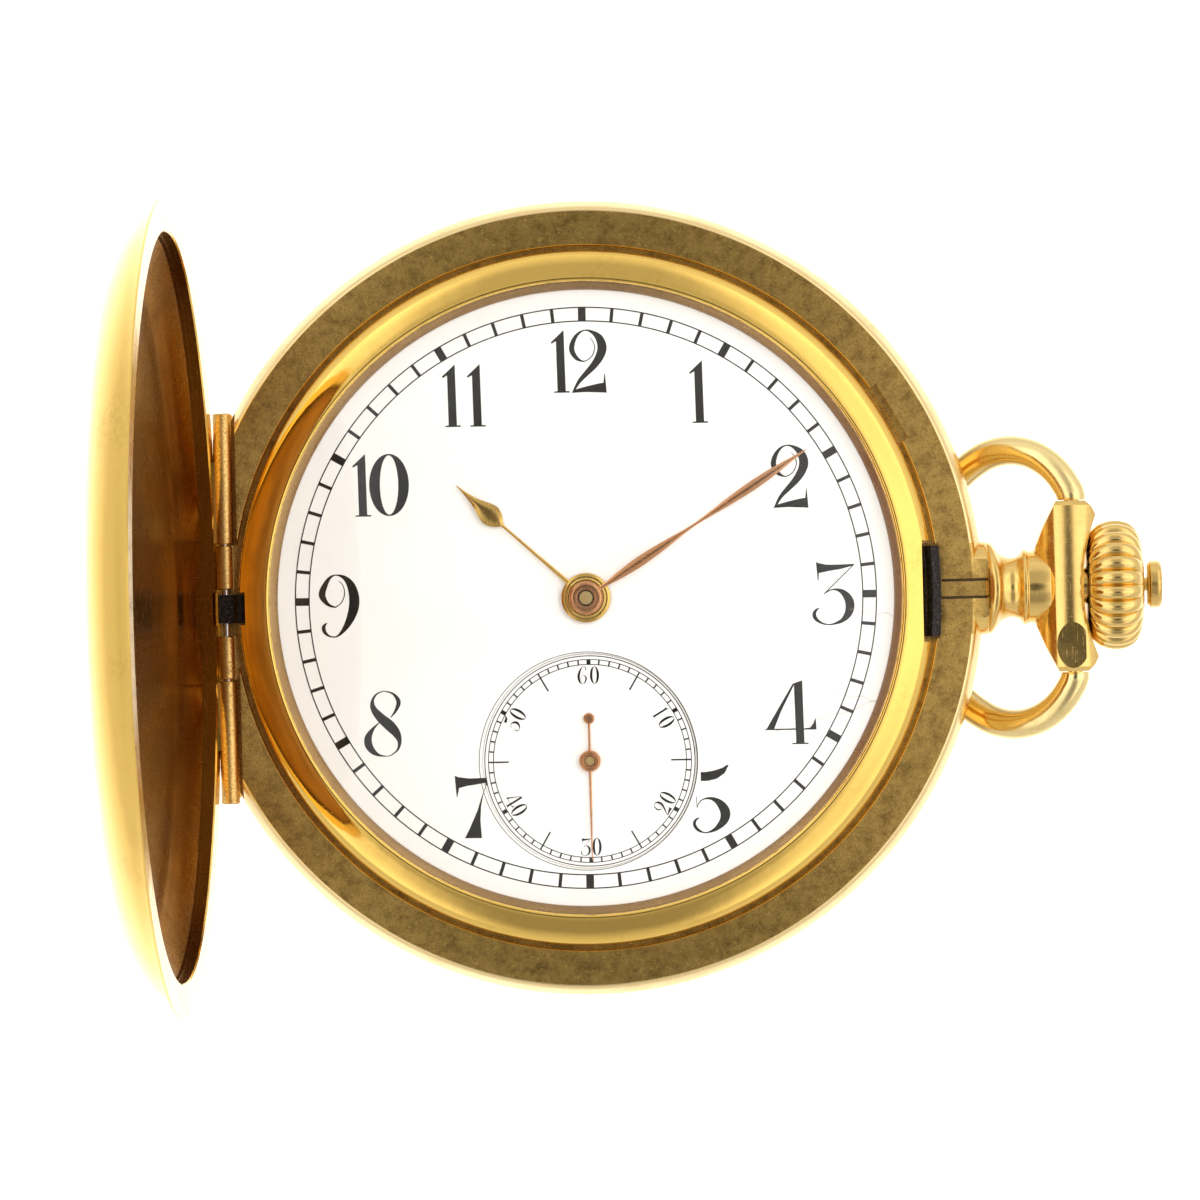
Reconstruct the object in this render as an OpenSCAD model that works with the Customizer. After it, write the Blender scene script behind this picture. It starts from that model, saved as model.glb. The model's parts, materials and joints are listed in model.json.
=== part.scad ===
// Hunter-case pocket watch with its front lid open.
// Z = 0 is the flat in the middle of the back cover and +Z points out of the dial.
// +X points at the crown (3 o'clock) and +Y at 12 o'clock. Sizes are in millimetres.

/* [Case] */
// Outer radius of the case band
case_r = 26; // [25.9:0.05:26.1]
// Height of the seat on which the front lid closes
seat_z = 8.8; // [8.75:0.05:8.9]
// Height of the seat on which the back cover closes
back_z = 4.4; // [4.35:0.05:4.45]
// Depth of the front lid's dome
lid_depth = 4.9; // [4.8:0.05:5.1]
// Thickness of the lid and of the covers
shell = 0.7; // [0.6:0.05:0.75]
// Radius of the flat in the middle of the back cover
flat_r = 12; // [11:0.5:13]

/* [Pendant and bow] */
// Height of the winding stem's axis
stem_z = 6.4; // [6.35:0.05:6.45]
// Distance of the bow's pivot from the watch's centre
bow_x = 31.9; // [31.8:0.05:32]
// Radius of the bow's wire
wire_r = 1; // [0.95:0.05:1]
// Angle at which the bow is folded down behind the case
bow_tilt = 34; // [33:0.5:36]
// Largest radius of the crown
crown_r = 4.25; // [4.1:0.05:4.3]
// Number of flutes round the crown
flutes = 24; // [20:2:28]

/* [Dial and hands] */
// Height of the dial's face
dial_z = 8.45; // [8.4:0.05:8.5]
// Radius of the dial
dial_r = 20.7; // [20.6:0.05:20.8]
// Distance of the seconds hand's arbor below the centre
seconds_y = 10.65; // [10.6:0.05:10.7]
// Length of the hour hand
hour_tip = 11.2; // [10.5:0.1:12]
// Length of the minute hand
minute_tip = 17.3; // [16.5:0.1:17.5]

/* [Hidden] */
$fn = 64;
EPS = 0.01;
GOLD = "goldenrod";
STEEL = "silver";
BRASS = "khaki";
BLACK = "dimgray";

// Hinge axes along Y, outside the case wall at 9 o'clock
hinge_x = -23.5;
lid_axis_z = seat_z - 0.6;
back_axis_z = back_z - 0.4;
pin_r = 0.3;
knuckle_r = 0.6;
lid_knuckles = [[4.05, 12.6], [-12.9, -4.85]];
lid_joins = [[4.05, 9.4], [-9.4, -4.85]];
case_front_knuckles = [[1.1, 3.95], [-4.75, -1.95]];
back_knuckles = [[4.05, 12.6], [-12.6, -4.05]];
case_back_knuckles = [[1.3, 3.95], [-3.95, -1.3]];
cuvette_knuckle = [[-1.2, 1.2]];
chord_x = -24.15;
recess_x = -22.65;

// Case ring
band_bore = 21.6;
groove_r = 23;
bezel_r = 22.65;
rim_inner = 23.6;
lid_r = case_r - 0.1;
cap_r = 130;
shoulder_r = 8;
cap_sag = flat_r * flat_r / 2 / cap_r;
lid_angle = 93.8;

// Bow: a far arc and two side arcs, measured from its pivot. Turns are in degrees
side_r = 5.1;
side_c = [4.7, 3.9];
far_c = [2.73, 0];
far_r = side_r + norm(side_c - far_c);
far_turn = atan2(side_c[1], side_c[0] - far_c[0]);
arm_turn = 159;
head_end = 5.58;

// Movement layers and centres
movement_r = 21.5;
plate_top = 7.6;
plate_bottom = 6.1;
bridge_top = 4.15;
bridge_bottom = 3.05;
pivot_r = 0.2;
centre = [0, 0];
fourth = [0, -seconds_y];
third = [-4.2, -5.85];
escape = [5.375, -8.69];
fork = [8.8, -8.23];
balance = [12, -7.8];
balance_r = 5.4;
cock_screw = [18.7, -5.2];
barrel = [4.52, 6.45];
crown_wheel_at = [11, 0];
minute_at = [0, 4.08];
setting_at = [6.35, 2.69];
lever_pivot = [19.7, 3.6];
yoke_pivot = [12, -4.5];
click_at = [13.9, 8.9];
jewelled = [third, fourth, escape, fork];
screw_places = [[16.6, 8], [-2.6, 15.6], [11.5, 15.5], [-12.4, -5.4], [-7.4, -14.2], cock_screw,
  [6.9, -12.9]];
ring_steps = 24;
escape_z = 5;

// Teeth and modules (pitch diameter over teeth) of the wheels
barrel_teeth = 80;
barrel_m = 0.175;
ratchet_teeth = 54;
ratchet_m = 0.2;
crown_teeth = 37;
contrate_teeth = 20;
winding_teeth = 14;
cannon_teeth = 12;
minute_teeth = 36;
setting_teeth = 40;
minute_leaves = 10;
hour_teeth = 40;
motion_m = 0.17;
hour_m = 0.1632;

// ---------- helpers ----------

function arc(c, r, a, b, n = 8) =
  [for (i = [0 : n]) let (t = a + (b - a) * i / n) c + r * [cos(t), sin(t)]];

// Centre of a shoulder arc that touches the cap's circle inside and ends at the rim
function shoulder_centre(rim, depth, cap, r) =
  let (m = [0, depth - cap], reach = cap - r, d = norm([rim, 0] - m),
       a = (reach * reach - r * r + d * d) / (2 * d), h = sqrt(reach * reach - a * a), u = ([rim,
       0] - m) / d)
  m + a * u + h * [-u[1], u[0]];

// Outline of a dome from its middle to its rim, at z = 0
function dome(rim, depth, cap, r) =
  let (s = shoulder_centre(rim, depth, cap, r), m = [0, depth - cap], d = s - m, t = atan2(d[1], d[0]),
       e = atan2(-s[1], rim - s[0]))
  concat(arc(m, cap, 90, t, 8), arc(s, r, t, e, 10));

module turned(points) {
  rotate_extrude() polygon(points);
}

module along_x(at, z = stem_z) {
  translate([at, 0, z]) rotate([0, 90, 0]) children();
}

module along_y(x, z, span) {
  translate([x, span[1], z]) rotate([90, 0, 0]) children();
}

module at(p, z = 0) {
  translate([p[0], p[1], z]) children();
}

// Disc between two heights, with a bore if its radius isn't 0
module washer(r, low, high, bore = 0) {
  difference() {
    translate([0, 0, low]) cylinder(r = r, h = high - low);
    if (bore > 0) translate([0, 0, low - 1]) cylinder(r = bore, h = high - low + 2);
  }
}

// Toothed outline: straight-sided teeth, narrow at the tip
function teeth(n, m, up, down, share) =
  [for (i = [0 : n - 1], k = [0 : 3])
    let (r = n * m / 2 + (k == 0 || k == 3 ? -down * m : up * m),
         w = share * 360 / n * [-0.62, -0.24, 0.24, 0.62][k])
    r * [cos(i * 360 / n + w), sin(i * 360 / n + w)]];

module wheel_2d(n, m) {
  polygon(teeth(n, m, 0.9, 1.2, 0.62));
}

module pinion_2d(n, m) {
  polygon(teeth(n, m, 0.7, 1.25, 0.5));
}

// Phase of a wheel with n2 teeth that meshes, in direction a, with a wheel of n1 teeth at phase p1
function meshed(a, p1, n1, n2) = a + 180 - (0.5 - (a - p1) * n1 / 360) * 360 / n2;
function towards(p, q) = atan2(q[1] - p[1], q[0] - p[0]);

// Wheel with crossed-out arms
module spoked(n, m, low, high, phase = 0, arms = 4, bore = 0.1) {
  r = n * m / 2 - 1.2 * m;
  difference() {
    translate([0, 0, low]) rotate([0, 0, phase]) linear_extrude(high - low) wheel_2d(n, m);
    translate([0, 0, low - 1]) linear_extrude(high - low + 2) difference() {
      circle(r = r - 0.55);
      circle(r = 1);
      for (i = [0 : arms - 1]) rotate([0, 0, i * 360 / arms]) translate([0, -0.25]) square([r, 0.5]);
    }
    translate([0, 0, low - 1]) cylinder(r = bore, h = high - low + 2);
  }
}

module pinion(n, m, low, high, phase = 0) {
  translate([0, 0, low]) rotate([0, 0, phase]) linear_extrude(high - low) pinion_2d(n, m);
}

// Round bar along Y through each span, centred on a hinge axis
module barrels(x, z, spans, r) {
  for (s = spans) along_y(x, z, s) cylinder(r = r, h = s[1] - s[0]);
}

module slotted_screw(r, low, high, head_r, head_h) {
  difference() {
    union() {
      translate([0, 0, low]) cylinder(r = r, h = high - low);
      translate([0, 0, low]) cylinder(r = head_r, h = head_h);
    }
    translate([-head_r, -0.08, low - 1]) cube([2 * head_r, 0.16, 1.15]);
  }
}

// ---------- case ----------

band_outline = concat(
  [[band_bore, 5], [23.7, 5], [23.7, back_z], [25.2, back_z]],
  arc([case_r - 4.6, 6.5], 4.6, -24, 28, 8),
  [[25.3, seat_z], [groove_r, seat_z], [groove_r, 8.2], [22.25, 8.2], [22.25, 8.6], [band_bore, 8.6]]);

module hinge_cut(low, high) {
  translate([chord_x - 3, -13.1, low]) cube([recess_x - chord_x + 3, 26.2, high - low]);
}

module case_band() {
  color(GOLD) difference() {
    union() {
      difference() {
        turned(band_outline);
        translate([chord_x - 5, -14, 0]) cube([5, 28, 12]);
        hinge_cut(lid_axis_z - 1, 12);
        hinge_cut(0, back_axis_z + 1.5);
      }
      barrels(hinge_x, lid_axis_z, case_front_knuckles, knuckle_r);
      barrels(hinge_x, back_axis_z, case_back_knuckles, knuckle_r);
      for (s = case_front_knuckles) translate([hinge_x, s[0], 7.1]) cube([1.3, s[1] - s[0], 1.1]);
      for (s = case_front_knuckles) translate([hinge_x, s[0], 7.1]) cube([0.6, s[1] - s[0], 1.5]);
      for (s = case_back_knuckles) translate([hinge_x, s[0], 5.05]) cube([1.3, s[1] - s[0], 0.75]);
      for (s = case_back_knuckles) translate([hinge_x, s[0], 4.2]) cube([0.6, s[1] - s[0], 1.6]);
      intersection() {
        along_x(24.4) cylinder(r = 3.05, h = 1.95);
        translate([24, -4, back_z + EPS]) cube([3, 8, seat_z - back_z - 0.02]);
      }
    }
    barrels(hinge_x, lid_axis_z, [[-13, 13]], pin_r);
    barrels(hinge_x, back_axis_z, [[-13, 13]], pin_r);
    along_x(20) cylinder(r = 1.3, h = 10);
    // slot for the lock spring and channel for its push rod
    translate([21.5, -3.2, 7.65]) cube([1.5, 6.2, 4]);
    translate([22, -0.6, seat_z - 0.35]) cube([5, 1.2, 1]);
    // thumbnail notch under the bezel
    rotate([0, 0, 30]) translate([22.4, -2.05, 8.3]) cube([1.02, 4.1, 1]);
    // seat for the lift spring
    translate([recess_x - 0.5, -1.9, 7.6]) cube([1.6, 2.95, 2]);
    // screw seats for the movement's case screws
    for (a = [75, 255]) rotate([0, 0, a]) translate([21.05, 0, 4]) cylinder(r = 1.05, h = 1.5);
  }
}

module pendant() {
  half = [[29.3, 0], [29.32, 2.3], [29.95, 3.9], [30.8, head_end], [32.7, head_end], [33.1, 5.2],
    [33.4, 4.65],
    [33.12, 3.9], [32.85, 3], [32.62, 2], [32.5, 1], [32.48, 0]];
  head = concat(half, [for (i = [len(half) - 2 : -1 : 1]) [half[i][0], -half[i][1]]]);
  neck = concat([[0, 26.35], [3, 26.35], [3, 27.2], [2.6, 27.4]], arc([3.1, 28.05], 1.15, 208, 152, 6),
    [[2.4, 28.8], [2.4, 29.3], [2.2, 29.5], [2.2, 31.5], [0, 31.5]]);
  color(GOLD) difference() {
    union() {
      along_x(0) turned(neck);
      intersection() {
        translate([0, 0, stem_z - 3]) linear_extrude(6) polygon(head);
        along_y(bow_x - 0.3, stem_z, [-6, 6]) cylinder(r = 2.34, h = 12);
      }
    }
    along_x(26) cylinder(r = 1.3, h = 9);
    for (s = [-1, 1]) translate([bow_x, s * 6, stem_z]) rotate([s * 90, 0, 0]) cylinder(r = 0.5, h = 2.2);
  }
}

module pendant_sleeve() {
  color(STEEL) along_x(0) washer(1.3, 26.6, 31.2, 0.85);
}

module bezel() {
  outline = [[20.75, 9.75], [20.55, 10.35], [21.3, 10.4], [22.4, 9.75], [bezel_r, 9.4], [bezel_r, 8.3],
    [22.3, 8.25], [22.3, 8.65], [21.6, 8.65], [20.1, 8.5], [20.1, 8.75], [20.6, 9.1], [21.35, 9.1],
    [21.35, 9.75]];
  color(GOLD) difference() {
    turned(outline);
    translate([21.6, -3.4, 8]) cube([2, 6.6, 4]);
    translate([-24, -1.25, 8]) cube([2.45, 2.15, 4]);
  }
}

module crystal() {
  ball = 122;
  color("lightcyan", 0.35) difference() {
    intersection() {
      translate([0, 0, 11.6 - ball]) sphere(r = ball);
      translate([0, 0, 9.15]) cylinder(r = 21.3, h = 3);
      union() {
        translate([0, 0, 9]) cylinder(r = 20.5, h = 3);
        translate([0, 0, 9]) cylinder(r = 21.3, h = 0.74);
      }
    }
    translate([0, 0, 10.95 - ball]) sphere(r = ball);
  }
}

// Shell of a lid or cover that closes at z = 0, with a flat wall along its hinge chord
module shell_body(rim, depth, wall, lip_r, lip_h, flat = 0) {
  outer = dome(rim, depth, cap_r, shoulder_r);
  inner = dome(lip_r + 1, depth - wall, cap_r, shoulder_r - wall);
  difference() {
    intersection() {
      turned(concat([[0, 0]], outer));
      translate([chord_x + 0.05, -40, 0]) cube([80, 80, depth - flat]);
    }
    intersection() {
      union() {
        intersection() {
          turned(concat([[0, 0]], inner));
          translate([0, 0, lip_h]) cylinder(r = 40, h = depth);
        }
        translate([0, 0, -1]) cylinder(r = lip_r, h = lip_h + 1 + EPS);
      }
      translate([-23.1, -40, -2]) cube([80, 80, 20]);
      if (flat > 0) translate([-40, -40, -2]) cube([80, 80, depth - flat - wall + 2]);
    }
  }
}

module swing_lid() {
  translate([hinge_x, 0, lid_axis_z]) rotate([0, -lid_angle, 0]) translate([-hinge_x, 0,
    -lid_axis_z]) children();
}

module front_lid() {
  color(GOLD) swing_lid() difference() {
    union() {
      difference() {
        translate([0, 0, seat_z + 0.02]) shell_body(lid_r, lid_depth, shell, rim_inner, 0.7);
        barrels(hinge_x, lid_axis_z, [[-13.2, -13], [12.7, 13.2]], 0.75);
        barrels(hinge_x, lid_axis_z, [[-4.85, 4.05]], 0.7);
        barrels(hinge_x, lid_axis_z, [[-1.3, 0.95]], 0.95);
      }
      barrels(hinge_x, lid_axis_z, lid_knuckles, knuckle_r);
      for (s = lid_joins) translate([hinge_x - 0.6, s[0], lid_axis_z]) cube([1, s[1] - s[0], 0.9]);
    }
    barrels(hinge_x, lid_axis_z, [[-14, 14]], pin_r);
  }
}

module back_cover() {
  color(GOLD) difference() {
    union() {
      difference() {
        translate([0, 0, back_z - 0.02]) mirror([0, 0, 1])
          shell_body(lid_r, back_z - 0.02 + cap_sag, shell, 23.8, 0.7, cap_sag);
        barrels(hinge_x, back_axis_z, [[-4.05, 4.05]], 0.8);
      }
      barrels(hinge_x, back_axis_z, back_knuckles, knuckle_r);
    }
    barrels(hinge_x, back_axis_z, [[-14, 14]], pin_r);
    // thumbnail lip opposite the hinge
    translate([25.6, -6, back_z - 0.35]) cube([2, 4, 0.5]);
  }
}

module dust_cover() {
  pan = [[0, 1.3], [14, 1.4], [21, 2.05], [21.7, 4.45], [23.45, 4.45], [23.45, 4.95], [21.3, 4.95],
    [20.65, 2.5], [13.9, 1.85], [0, 1.75]];
  color(GOLD) difference() {
    union() {
      intersection() {
        turned(pan);
        translate([-22.75, -30, 0]) cube([60, 60, 8]);
      }
      barrels(hinge_x, back_axis_z, cuvette_knuckle, knuckle_r);
      translate([hinge_x, -1.2, back_axis_z + 0.1]) cube([1.8, 2.4, 0.5]);
      translate([-22.7, -1.2, back_axis_z + 0.1]) cube([1, 2.4, 0.85]);
    }
    barrels(hinge_x, back_axis_z, [[-14, 14]], pin_r);
  }
}

module lid_hinge_pin() {
  color(STEEL) barrels(hinge_x, lid_axis_z, [[-12.85, 12.55]], pin_r - 0.03);
}

module back_hinge_pin() {
  color(STEEL) barrels(hinge_x, back_axis_z, [[-12.55, 12.55]], pin_r - 0.03);
}

module lock_spring() {
  pad = [[21.95, 7.75], [22.85, 7.75], [22.85, 9.3], [23.2, 9.5], [22.6, 9.9], [22.2, 9.3]];
  color(BLACK) translate([0, 2.9, 0]) rotate([90, 0, 0]) linear_extrude(6) polygon(pad);
}

module lift_spring() {
  blade = [[-21.65, 7.7], [-21.65, 8.4], [-21.9, 8.9], [-22.7, 9], [-22.95, 8.8], [-24, 8.74], [-24, 8.58],
    [-23.1, 8.6], [-22.75, 8.45], [-22.55, 7.7]];
  color(BLACK) translate([0, 0.75, 0]) rotate([90, 0, 0]) linear_extrude(1.85) polygon(blade);
}

module case_screws() {
  color(STEEL) for (a = [75, 255]) rotate([0, 0, a]) translate([21.05, 0, 0])
    slotted_screw(0.45, 5.1, 7.3, 1, 0.35);
}

// ---------- pendant fittings ----------

module torus_part(c, r, from, to, wire) {
  translate([c[0], c[1], 0]) rotate([0, 0, from]) rotate_extrude(angle = to - from)
    translate([r, 0]) circle(r = wire);
}

module bow() {
  color(GOLD) translate([bow_x, 0, stem_z]) rotate([0, 180 - bow_tilt, 0]) difference() {
    union() {
      torus_part(far_c, far_r, -far_turn, far_turn, wire_r);
      torus_part(side_c, side_r, far_turn - 2, arm_turn, wire_r - 0.03);
      mirror([0, 1, 0]) torus_part(side_c, side_r, far_turn - 2, arm_turn, wire_r - 0.03);
      for (s = [-1, 1]) translate([0, s * 5.6, 0]) rotate([-s * 90, 0, 0]) cylinder(r = 1.05, h = 1.1);
    }
    for (s = [-1, 1]) translate([0, s * 5, 0]) rotate([-s * 90, 0, 0]) cylinder(r = 0.53, h = 1.62);
    translate([-3, -5.6, -3]) cube([6, 11.2, 6]);
  }
}

module bow_screws() {
  color(GOLD) for (s = [-1, 1]) translate([bow_x, s * 6.6, stem_z]) rotate([s * 90, 0, 0])
    cylinder(r = 0.49, h = 2.6);
}

module crown() {
  onion = concat([[0, 32.85], [2.3, 32.9]], arc([2.5, 34.95], 1.75, -75, 60, 10), [[2.6, 36.6],
    [0, 36.7]]);
  color(GOLD) difference() {
    along_x(0) turned(onion);
    for (i = [0 : flutes - 1]) along_x(32) rotate([0, 0, i * 360 / flutes]) translate([crown_r + 0.12,
      0, 0])
      cylinder(r = 0.36, h = 5);
    along_x(32) cylinder(r = 0.75, h = 1.8);
    along_x(32) cylinder(r = 0.5, h = 8);
    along_x(36.05) cylinder(r = 1.6, h = 2);
  }
}

module push_button() {
  color(GOLD) along_x(0) union() {
    washer(1.55, 36.8, 37.7);
    washer(0.45, 28, 36.9);
  }
}

// ---------- dial and hands ----------

module dial() {
  color("ivory") difference() {
    washer(dial_r, dial_z - 0.7, dial_z, 1);
    at(fourth) translate([0, 0, dial_z - 1]) cylinder(r = 7, h = 2);
  }
}

module seconds_dial() {
  color("ivory") at(fourth) washer(6.98, dial_z - 0.6, dial_z - 0.18, 0.4);
}

module hour_hand() {
  leaf = [[1.2, -0.14], [7.2, -0.1], [7.6, -0.5], [8.25, -0.7], [8.9, -0.5], [9.8, -0.22],
    [hour_tip, -0.03],
    [hour_tip, 0.03], [9.8, 0.22], [8.9, 0.5], [8.25, 0.7], [7.6, 0.5], [7.2, 0.1], [1.2, 0.14]];
  color(GOLD) rotate([0, 0, 137.8]) difference() {
    union() {
      translate([0, 0, 8.85]) linear_extrude(0.14) polygon(leaf);
      washer(1.6, 8.8, 9.05);
    }
    translate([0, 0, 8]) cylinder(r = 0.75, h = 2);
  }
}

module minute_hand() {
  leaf = [[0.9, -0.1], [4, -0.32], [8.6, -0.1], [13, -0.3], [minute_tip, -0.06], [minute_tip, 0.06],
    [13, 0.3],
    [8.6, 0.1], [4, 0.32], [0.9, 0.1]];
  color("peru") rotate([0, 0, 32.6]) difference() {
    union() {
      translate([0, 0, 9.3]) linear_extrude(0.14) polygon(leaf);
      washer(1.1, 9.25, 9.5);
    }
    translate([0, 0, 8]) cylinder(r = 0.5, h = 2);
  }
}

module seconds_hand() {
  color("peru") at(fourth) difference() {
    union() {
      translate([-0.08, -6.46, 8.56]) cube([0.16, 9.1, 0.1]);
      translate([0, 2.78, 8.56]) cylinder(r = 0.37, h = 0.1);
      washer(0.7, 8.5, 8.8);
    }
    translate([0, 0, 8]) cylinder(r = 0.28, h = 0.74);
  }
}

// ---------- movement: plates and bridges ----------

module jewel_seats(points, low, high) {
  for (p = points) at(p, low) cylinder(r = 0.65, h = high - low);
}

module mainplate() {
  color(BRASS) difference() {
    washer(movement_r, plate_bottom, plate_top);
    // room for the motion work under the dial
    translate([0, 0, 6.9]) cylinder(r = 5.2, h = 2);
    at(minute_at, 6.9) cylinder(r = 3.4, h = 2);
    at(centre, 5) cylinder(r = 0.75, h = 4);
    jewel_seats(jewelled, 5, 9);
    at(balance, 5) cylinder(r = 0.65, h = 4);
    at(balance, 5) cylinder(r = 1.6, h = 1.5);
    at(barrel, 5) cylinder(r = 0.72, h = 4);
    // keyless work
    translate([8.5, -1.6, 5]) cube([10.5, 3.2, 4]);
    at(setting_at, 6.9) cylinder(r = 3.7, h = 2);
    at(yoke_pivot, 5) cylinder(r = 0.2, h = 4);
    at(lever_pivot, 5) cylinder(r = 0.2, h = 4);
    along_x(5) cylinder(r = 0.72, h = 20);
    translate([9.4, -5.2, 6.85]) cube([11.9, 10.2, 2]);
    translate([19, -1.2, 5.9]) cube([2.2, 2.4, 2]);
    // holes of the case screws and of the bridges' screws
    for (a = [75, 255]) rotate([0, 0, a]) translate([21.05, 0, 5]) cylinder(r = 0.47, h = 2.4);
    for (p = screw_places) at(p, 5) cylinder(r = 0.42, h = 2);
  }
}

module pillar(p, top) {
  at(p, bridge_bottom) cylinder(r = 1.3, h = top - bridge_bottom);
}

module bridge_bores(points) {
  for (p = points) at(p, 2) cylinder(r = 0.42, h = 6);
  for (p = points) at(p, 2) cylinder(r = 0.82, h = 1.45);
}

module barrel_bridge() {
  posts = [screw_places[0], screw_places[1], screw_places[2]];
  color(BRASS) difference() {
    union() {
      intersection() {
        washer(20.6, bridge_bottom, bridge_top);
        translate([-5.4, -1.9, 0]) cube([30, 30, 9]);
      }
      for (p = posts) pillar(p, plate_bottom);
    }
    at(barrel, 2) cylinder(r = 1.22, h = 4);
    at(crown_wheel_at, 2) cylinder(r = 2.05, h = 4);
    translate([-14, -3, 2]) cube([16.1, 5.1, 4]);
    at(balance, 2) cylinder(r = balance_r + 0.5, h = 4);
    at(click_at, 2) cylinder(r = 0.42, h = 4);
    bridge_bores(posts);
  }
}

module train_bridge() {
  posts = [screw_places[3], screw_places[4]];
  color(BRASS) difference() {
    union() {
      translate([0, 0, bridge_bottom]) linear_extrude(bridge_top - bridge_bottom)
        polygon([[-12.2, -2.4], [1.9, -2.05], [1.9, 1.2], [0.9, 1.9], [-12, 1.6], [-14, 0]]);
      intersection() {
        washer(20.6, bridge_bottom, bridge_top);
        translate([-14.4, -21, 0]) cube([21.3, 19.1, 9]);
      }
      for (p = posts) pillar(p, plate_bottom);
    }
    jewel_seats([third, fourth, escape], 2, 6);
    at(centre, 2) cylinder(r = 0.65, h = 4);
    at(balance, 2) cylinder(r = balance_r + 0.5, h = 4);
    at([8, -12], 2) cylinder(r = 2.6, h = 4);
    bridge_bores(posts);
  }
}

module balance_cock() {
  low = 2.55;
  color(BRASS) difference() {
    union() {
      translate([0, 0, low]) linear_extrude(0.75)
        polygon([[11, -6.8], [10.9, -8.8], [13, -8.9], [19.6, -6.2], [19.8, -4.2], [17.6, -3.9]]);
      at(cock_screw, low) cylinder(r = 1.2, h = plate_bottom - low);
    }
    at(balance, 2) cylinder(r = 0.65, h = 2);
    at(balance, 3.3) cylinder(r = balance_r + 0.4, h = 1.2);
    at(cock_screw, 2) cylinder(r = 0.42, h = 6);
    at(cock_screw, 2) cylinder(r = 0.82, h = 0.95);
  }
}

module pallet_cock() {
  low = 4.4;
  foot = screw_places[6];
  color(BRASS) difference() {
    union() {
      translate([0, 0, low]) linear_extrude(0.45)
        polygon([[6.1, -13.2], [7.4, -13.6], [9.7, -9.3], [9.85, -8], [9.2, -7.2], [8.2, -7.3],
          [7.7, -8.2], [7.4, -9.8]]);
      at(foot, low) cylinder(r = 0.85, h = plate_bottom - low);
    }
    at(fork, 2) cylinder(r = 0.65, h = 4);
    at(foot, 2) cylinder(r = 0.42, h = 6);
  }
}

module bridge_screws() {
  color(STEEL) {
    for (i = [0 : 4]) at(screw_places[i]) slotted_screw(0.4, 3.1, 6.9, 0.8, 0.33);
    at(cock_screw) slotted_screw(0.4, 2.6, 6.9, 0.8, 0.33);
    at(screw_places[6]) slotted_screw(0.4, 4.05, 6.9, 0.6, 0.34);
  }
}

module jewel(p, low, high, bore) {
  at(p) difference() {
    washer(0.65, low, high);
    translate([0, 0, low - 1]) cylinder(r = bore, h = high - low + 2);
  }
}

module jewels() {
  color("crimson") {
    for (p = jewelled) jewel(p, plate_bottom, plate_bottom + 0.6, p == fourth ? 0.29 : pivot_r + 0.03);
    for (p = [third, fourth, escape]) jewel(p, bridge_bottom + 0.4, bridge_top - 0.1, pivot_r + 0.03);
    jewel(fork, 4.42, 4.83, pivot_r + 0.03);
    jewel(balance, 6.7, 7.2, 0.15);
    jewel(balance, 2.6, 3.1, 0.15);
    jewel(centre, bridge_bottom + 0.4, bridge_top - 0.1, 0.33);
  }
}

// ---------- movement: mainspring barrel and winding ----------

module barrel_drum() {
  phase = meshed(towards(centre, barrel), 0, 10, barrel_teeth);
  color(BRASS) at(barrel) difference() {
    union() {
      translate([0, 0, 5.25]) rotate([0, 0, phase]) linear_extrude(0.35) wheel_2d(barrel_teeth, barrel_m);
      washer(6.6, 4.5, 5.6);
    }
    translate([0, 0, 4.4]) cylinder(r = 6.2, h = 1);
    translate([0, 0, 4]) cylinder(r = 0.75, h = 2);
  }
}

module barrel_cover() {
  color(BRASS) at(barrel) washer(6.6, 4.25, 4.48, 1.28);
}

module barrel_arbor() {
  color(STEEL) at(barrel) difference() {
    union() {
      washer(1.2, 2.95, 4.95);
      washer(0.7, 4.9, 6.85);
      translate([-0.6, -0.6, 2.45]) cube([1.2, 1.2, 0.6]);
    }
    translate([0, 0, 2]) cylinder(r = 0.35, h = 1.8);
  }
}

// Coiled ribbon: rings of a spiral from the arbor to the drum's wall
module mainspring() {
  turns = 5;
  n = turns * ring_steps;
  spiral = [for (i = [0 : n]) (1.35 + 4.6 * i / n) * [cos(i * 360 / ring_steps),
    sin(i * 360 / ring_steps)]];
  back = [for (i = [n : -1 : 0]) (1.6 + 4.6 * i / n - 0.02) * [cos(i * 360 / ring_steps),
    sin(i * 360 / ring_steps)]];
  color(STEEL) at(barrel, 4.55) linear_extrude(0.75) polygon(concat(spiral, back));
}

module ratchet_wheel() {
  color(STEEL) at(barrel) difference() {
    translate([0, 0, 2.5]) linear_extrude(0.45) wheel_2d(ratchet_teeth, ratchet_m);
    translate([-0.62, -0.62, 2]) cube([1.24, 1.24, 2]);
  }
}

module ratchet_screw() {
  color(STEEL) at(barrel) slotted_screw(0.33, 2.12, 3.7, 1.3, 0.33);
}

module crown_wheel() {
  phase = meshed(towards(barrel, crown_wheel_at), 0, ratchet_teeth, crown_teeth);
  color(STEEL) at(crown_wheel_at) difference() {
    union() {
      translate([0, 0, 2.5]) rotate([0, 0, phase]) linear_extrude(0.45) wheel_2d(crown_teeth, ratchet_m);
      washer(1.9, 2.9, 4.9);
      for (i = [0 : contrate_teeth - 1]) rotate([0, 0, i * 360 / contrate_teeth])
        translate([1.5, -0.08, 4.8]) cube([0.38, 0.16, 0.45]);
    }
    translate([0, 0, 2]) cylinder(r = 1.05, h = 4);
  }
}

module crown_wheel_core() {
  color(STEEL) at(crown_wheel_at) difference() {
    union() {
      washer(1, 2.3, 4.9);
      washer(1.5, 2.1, 2.45);
    }
    translate([-2, -0.12, 1.9]) cube([4, 0.24, 0.4]);
  }
}

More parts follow.
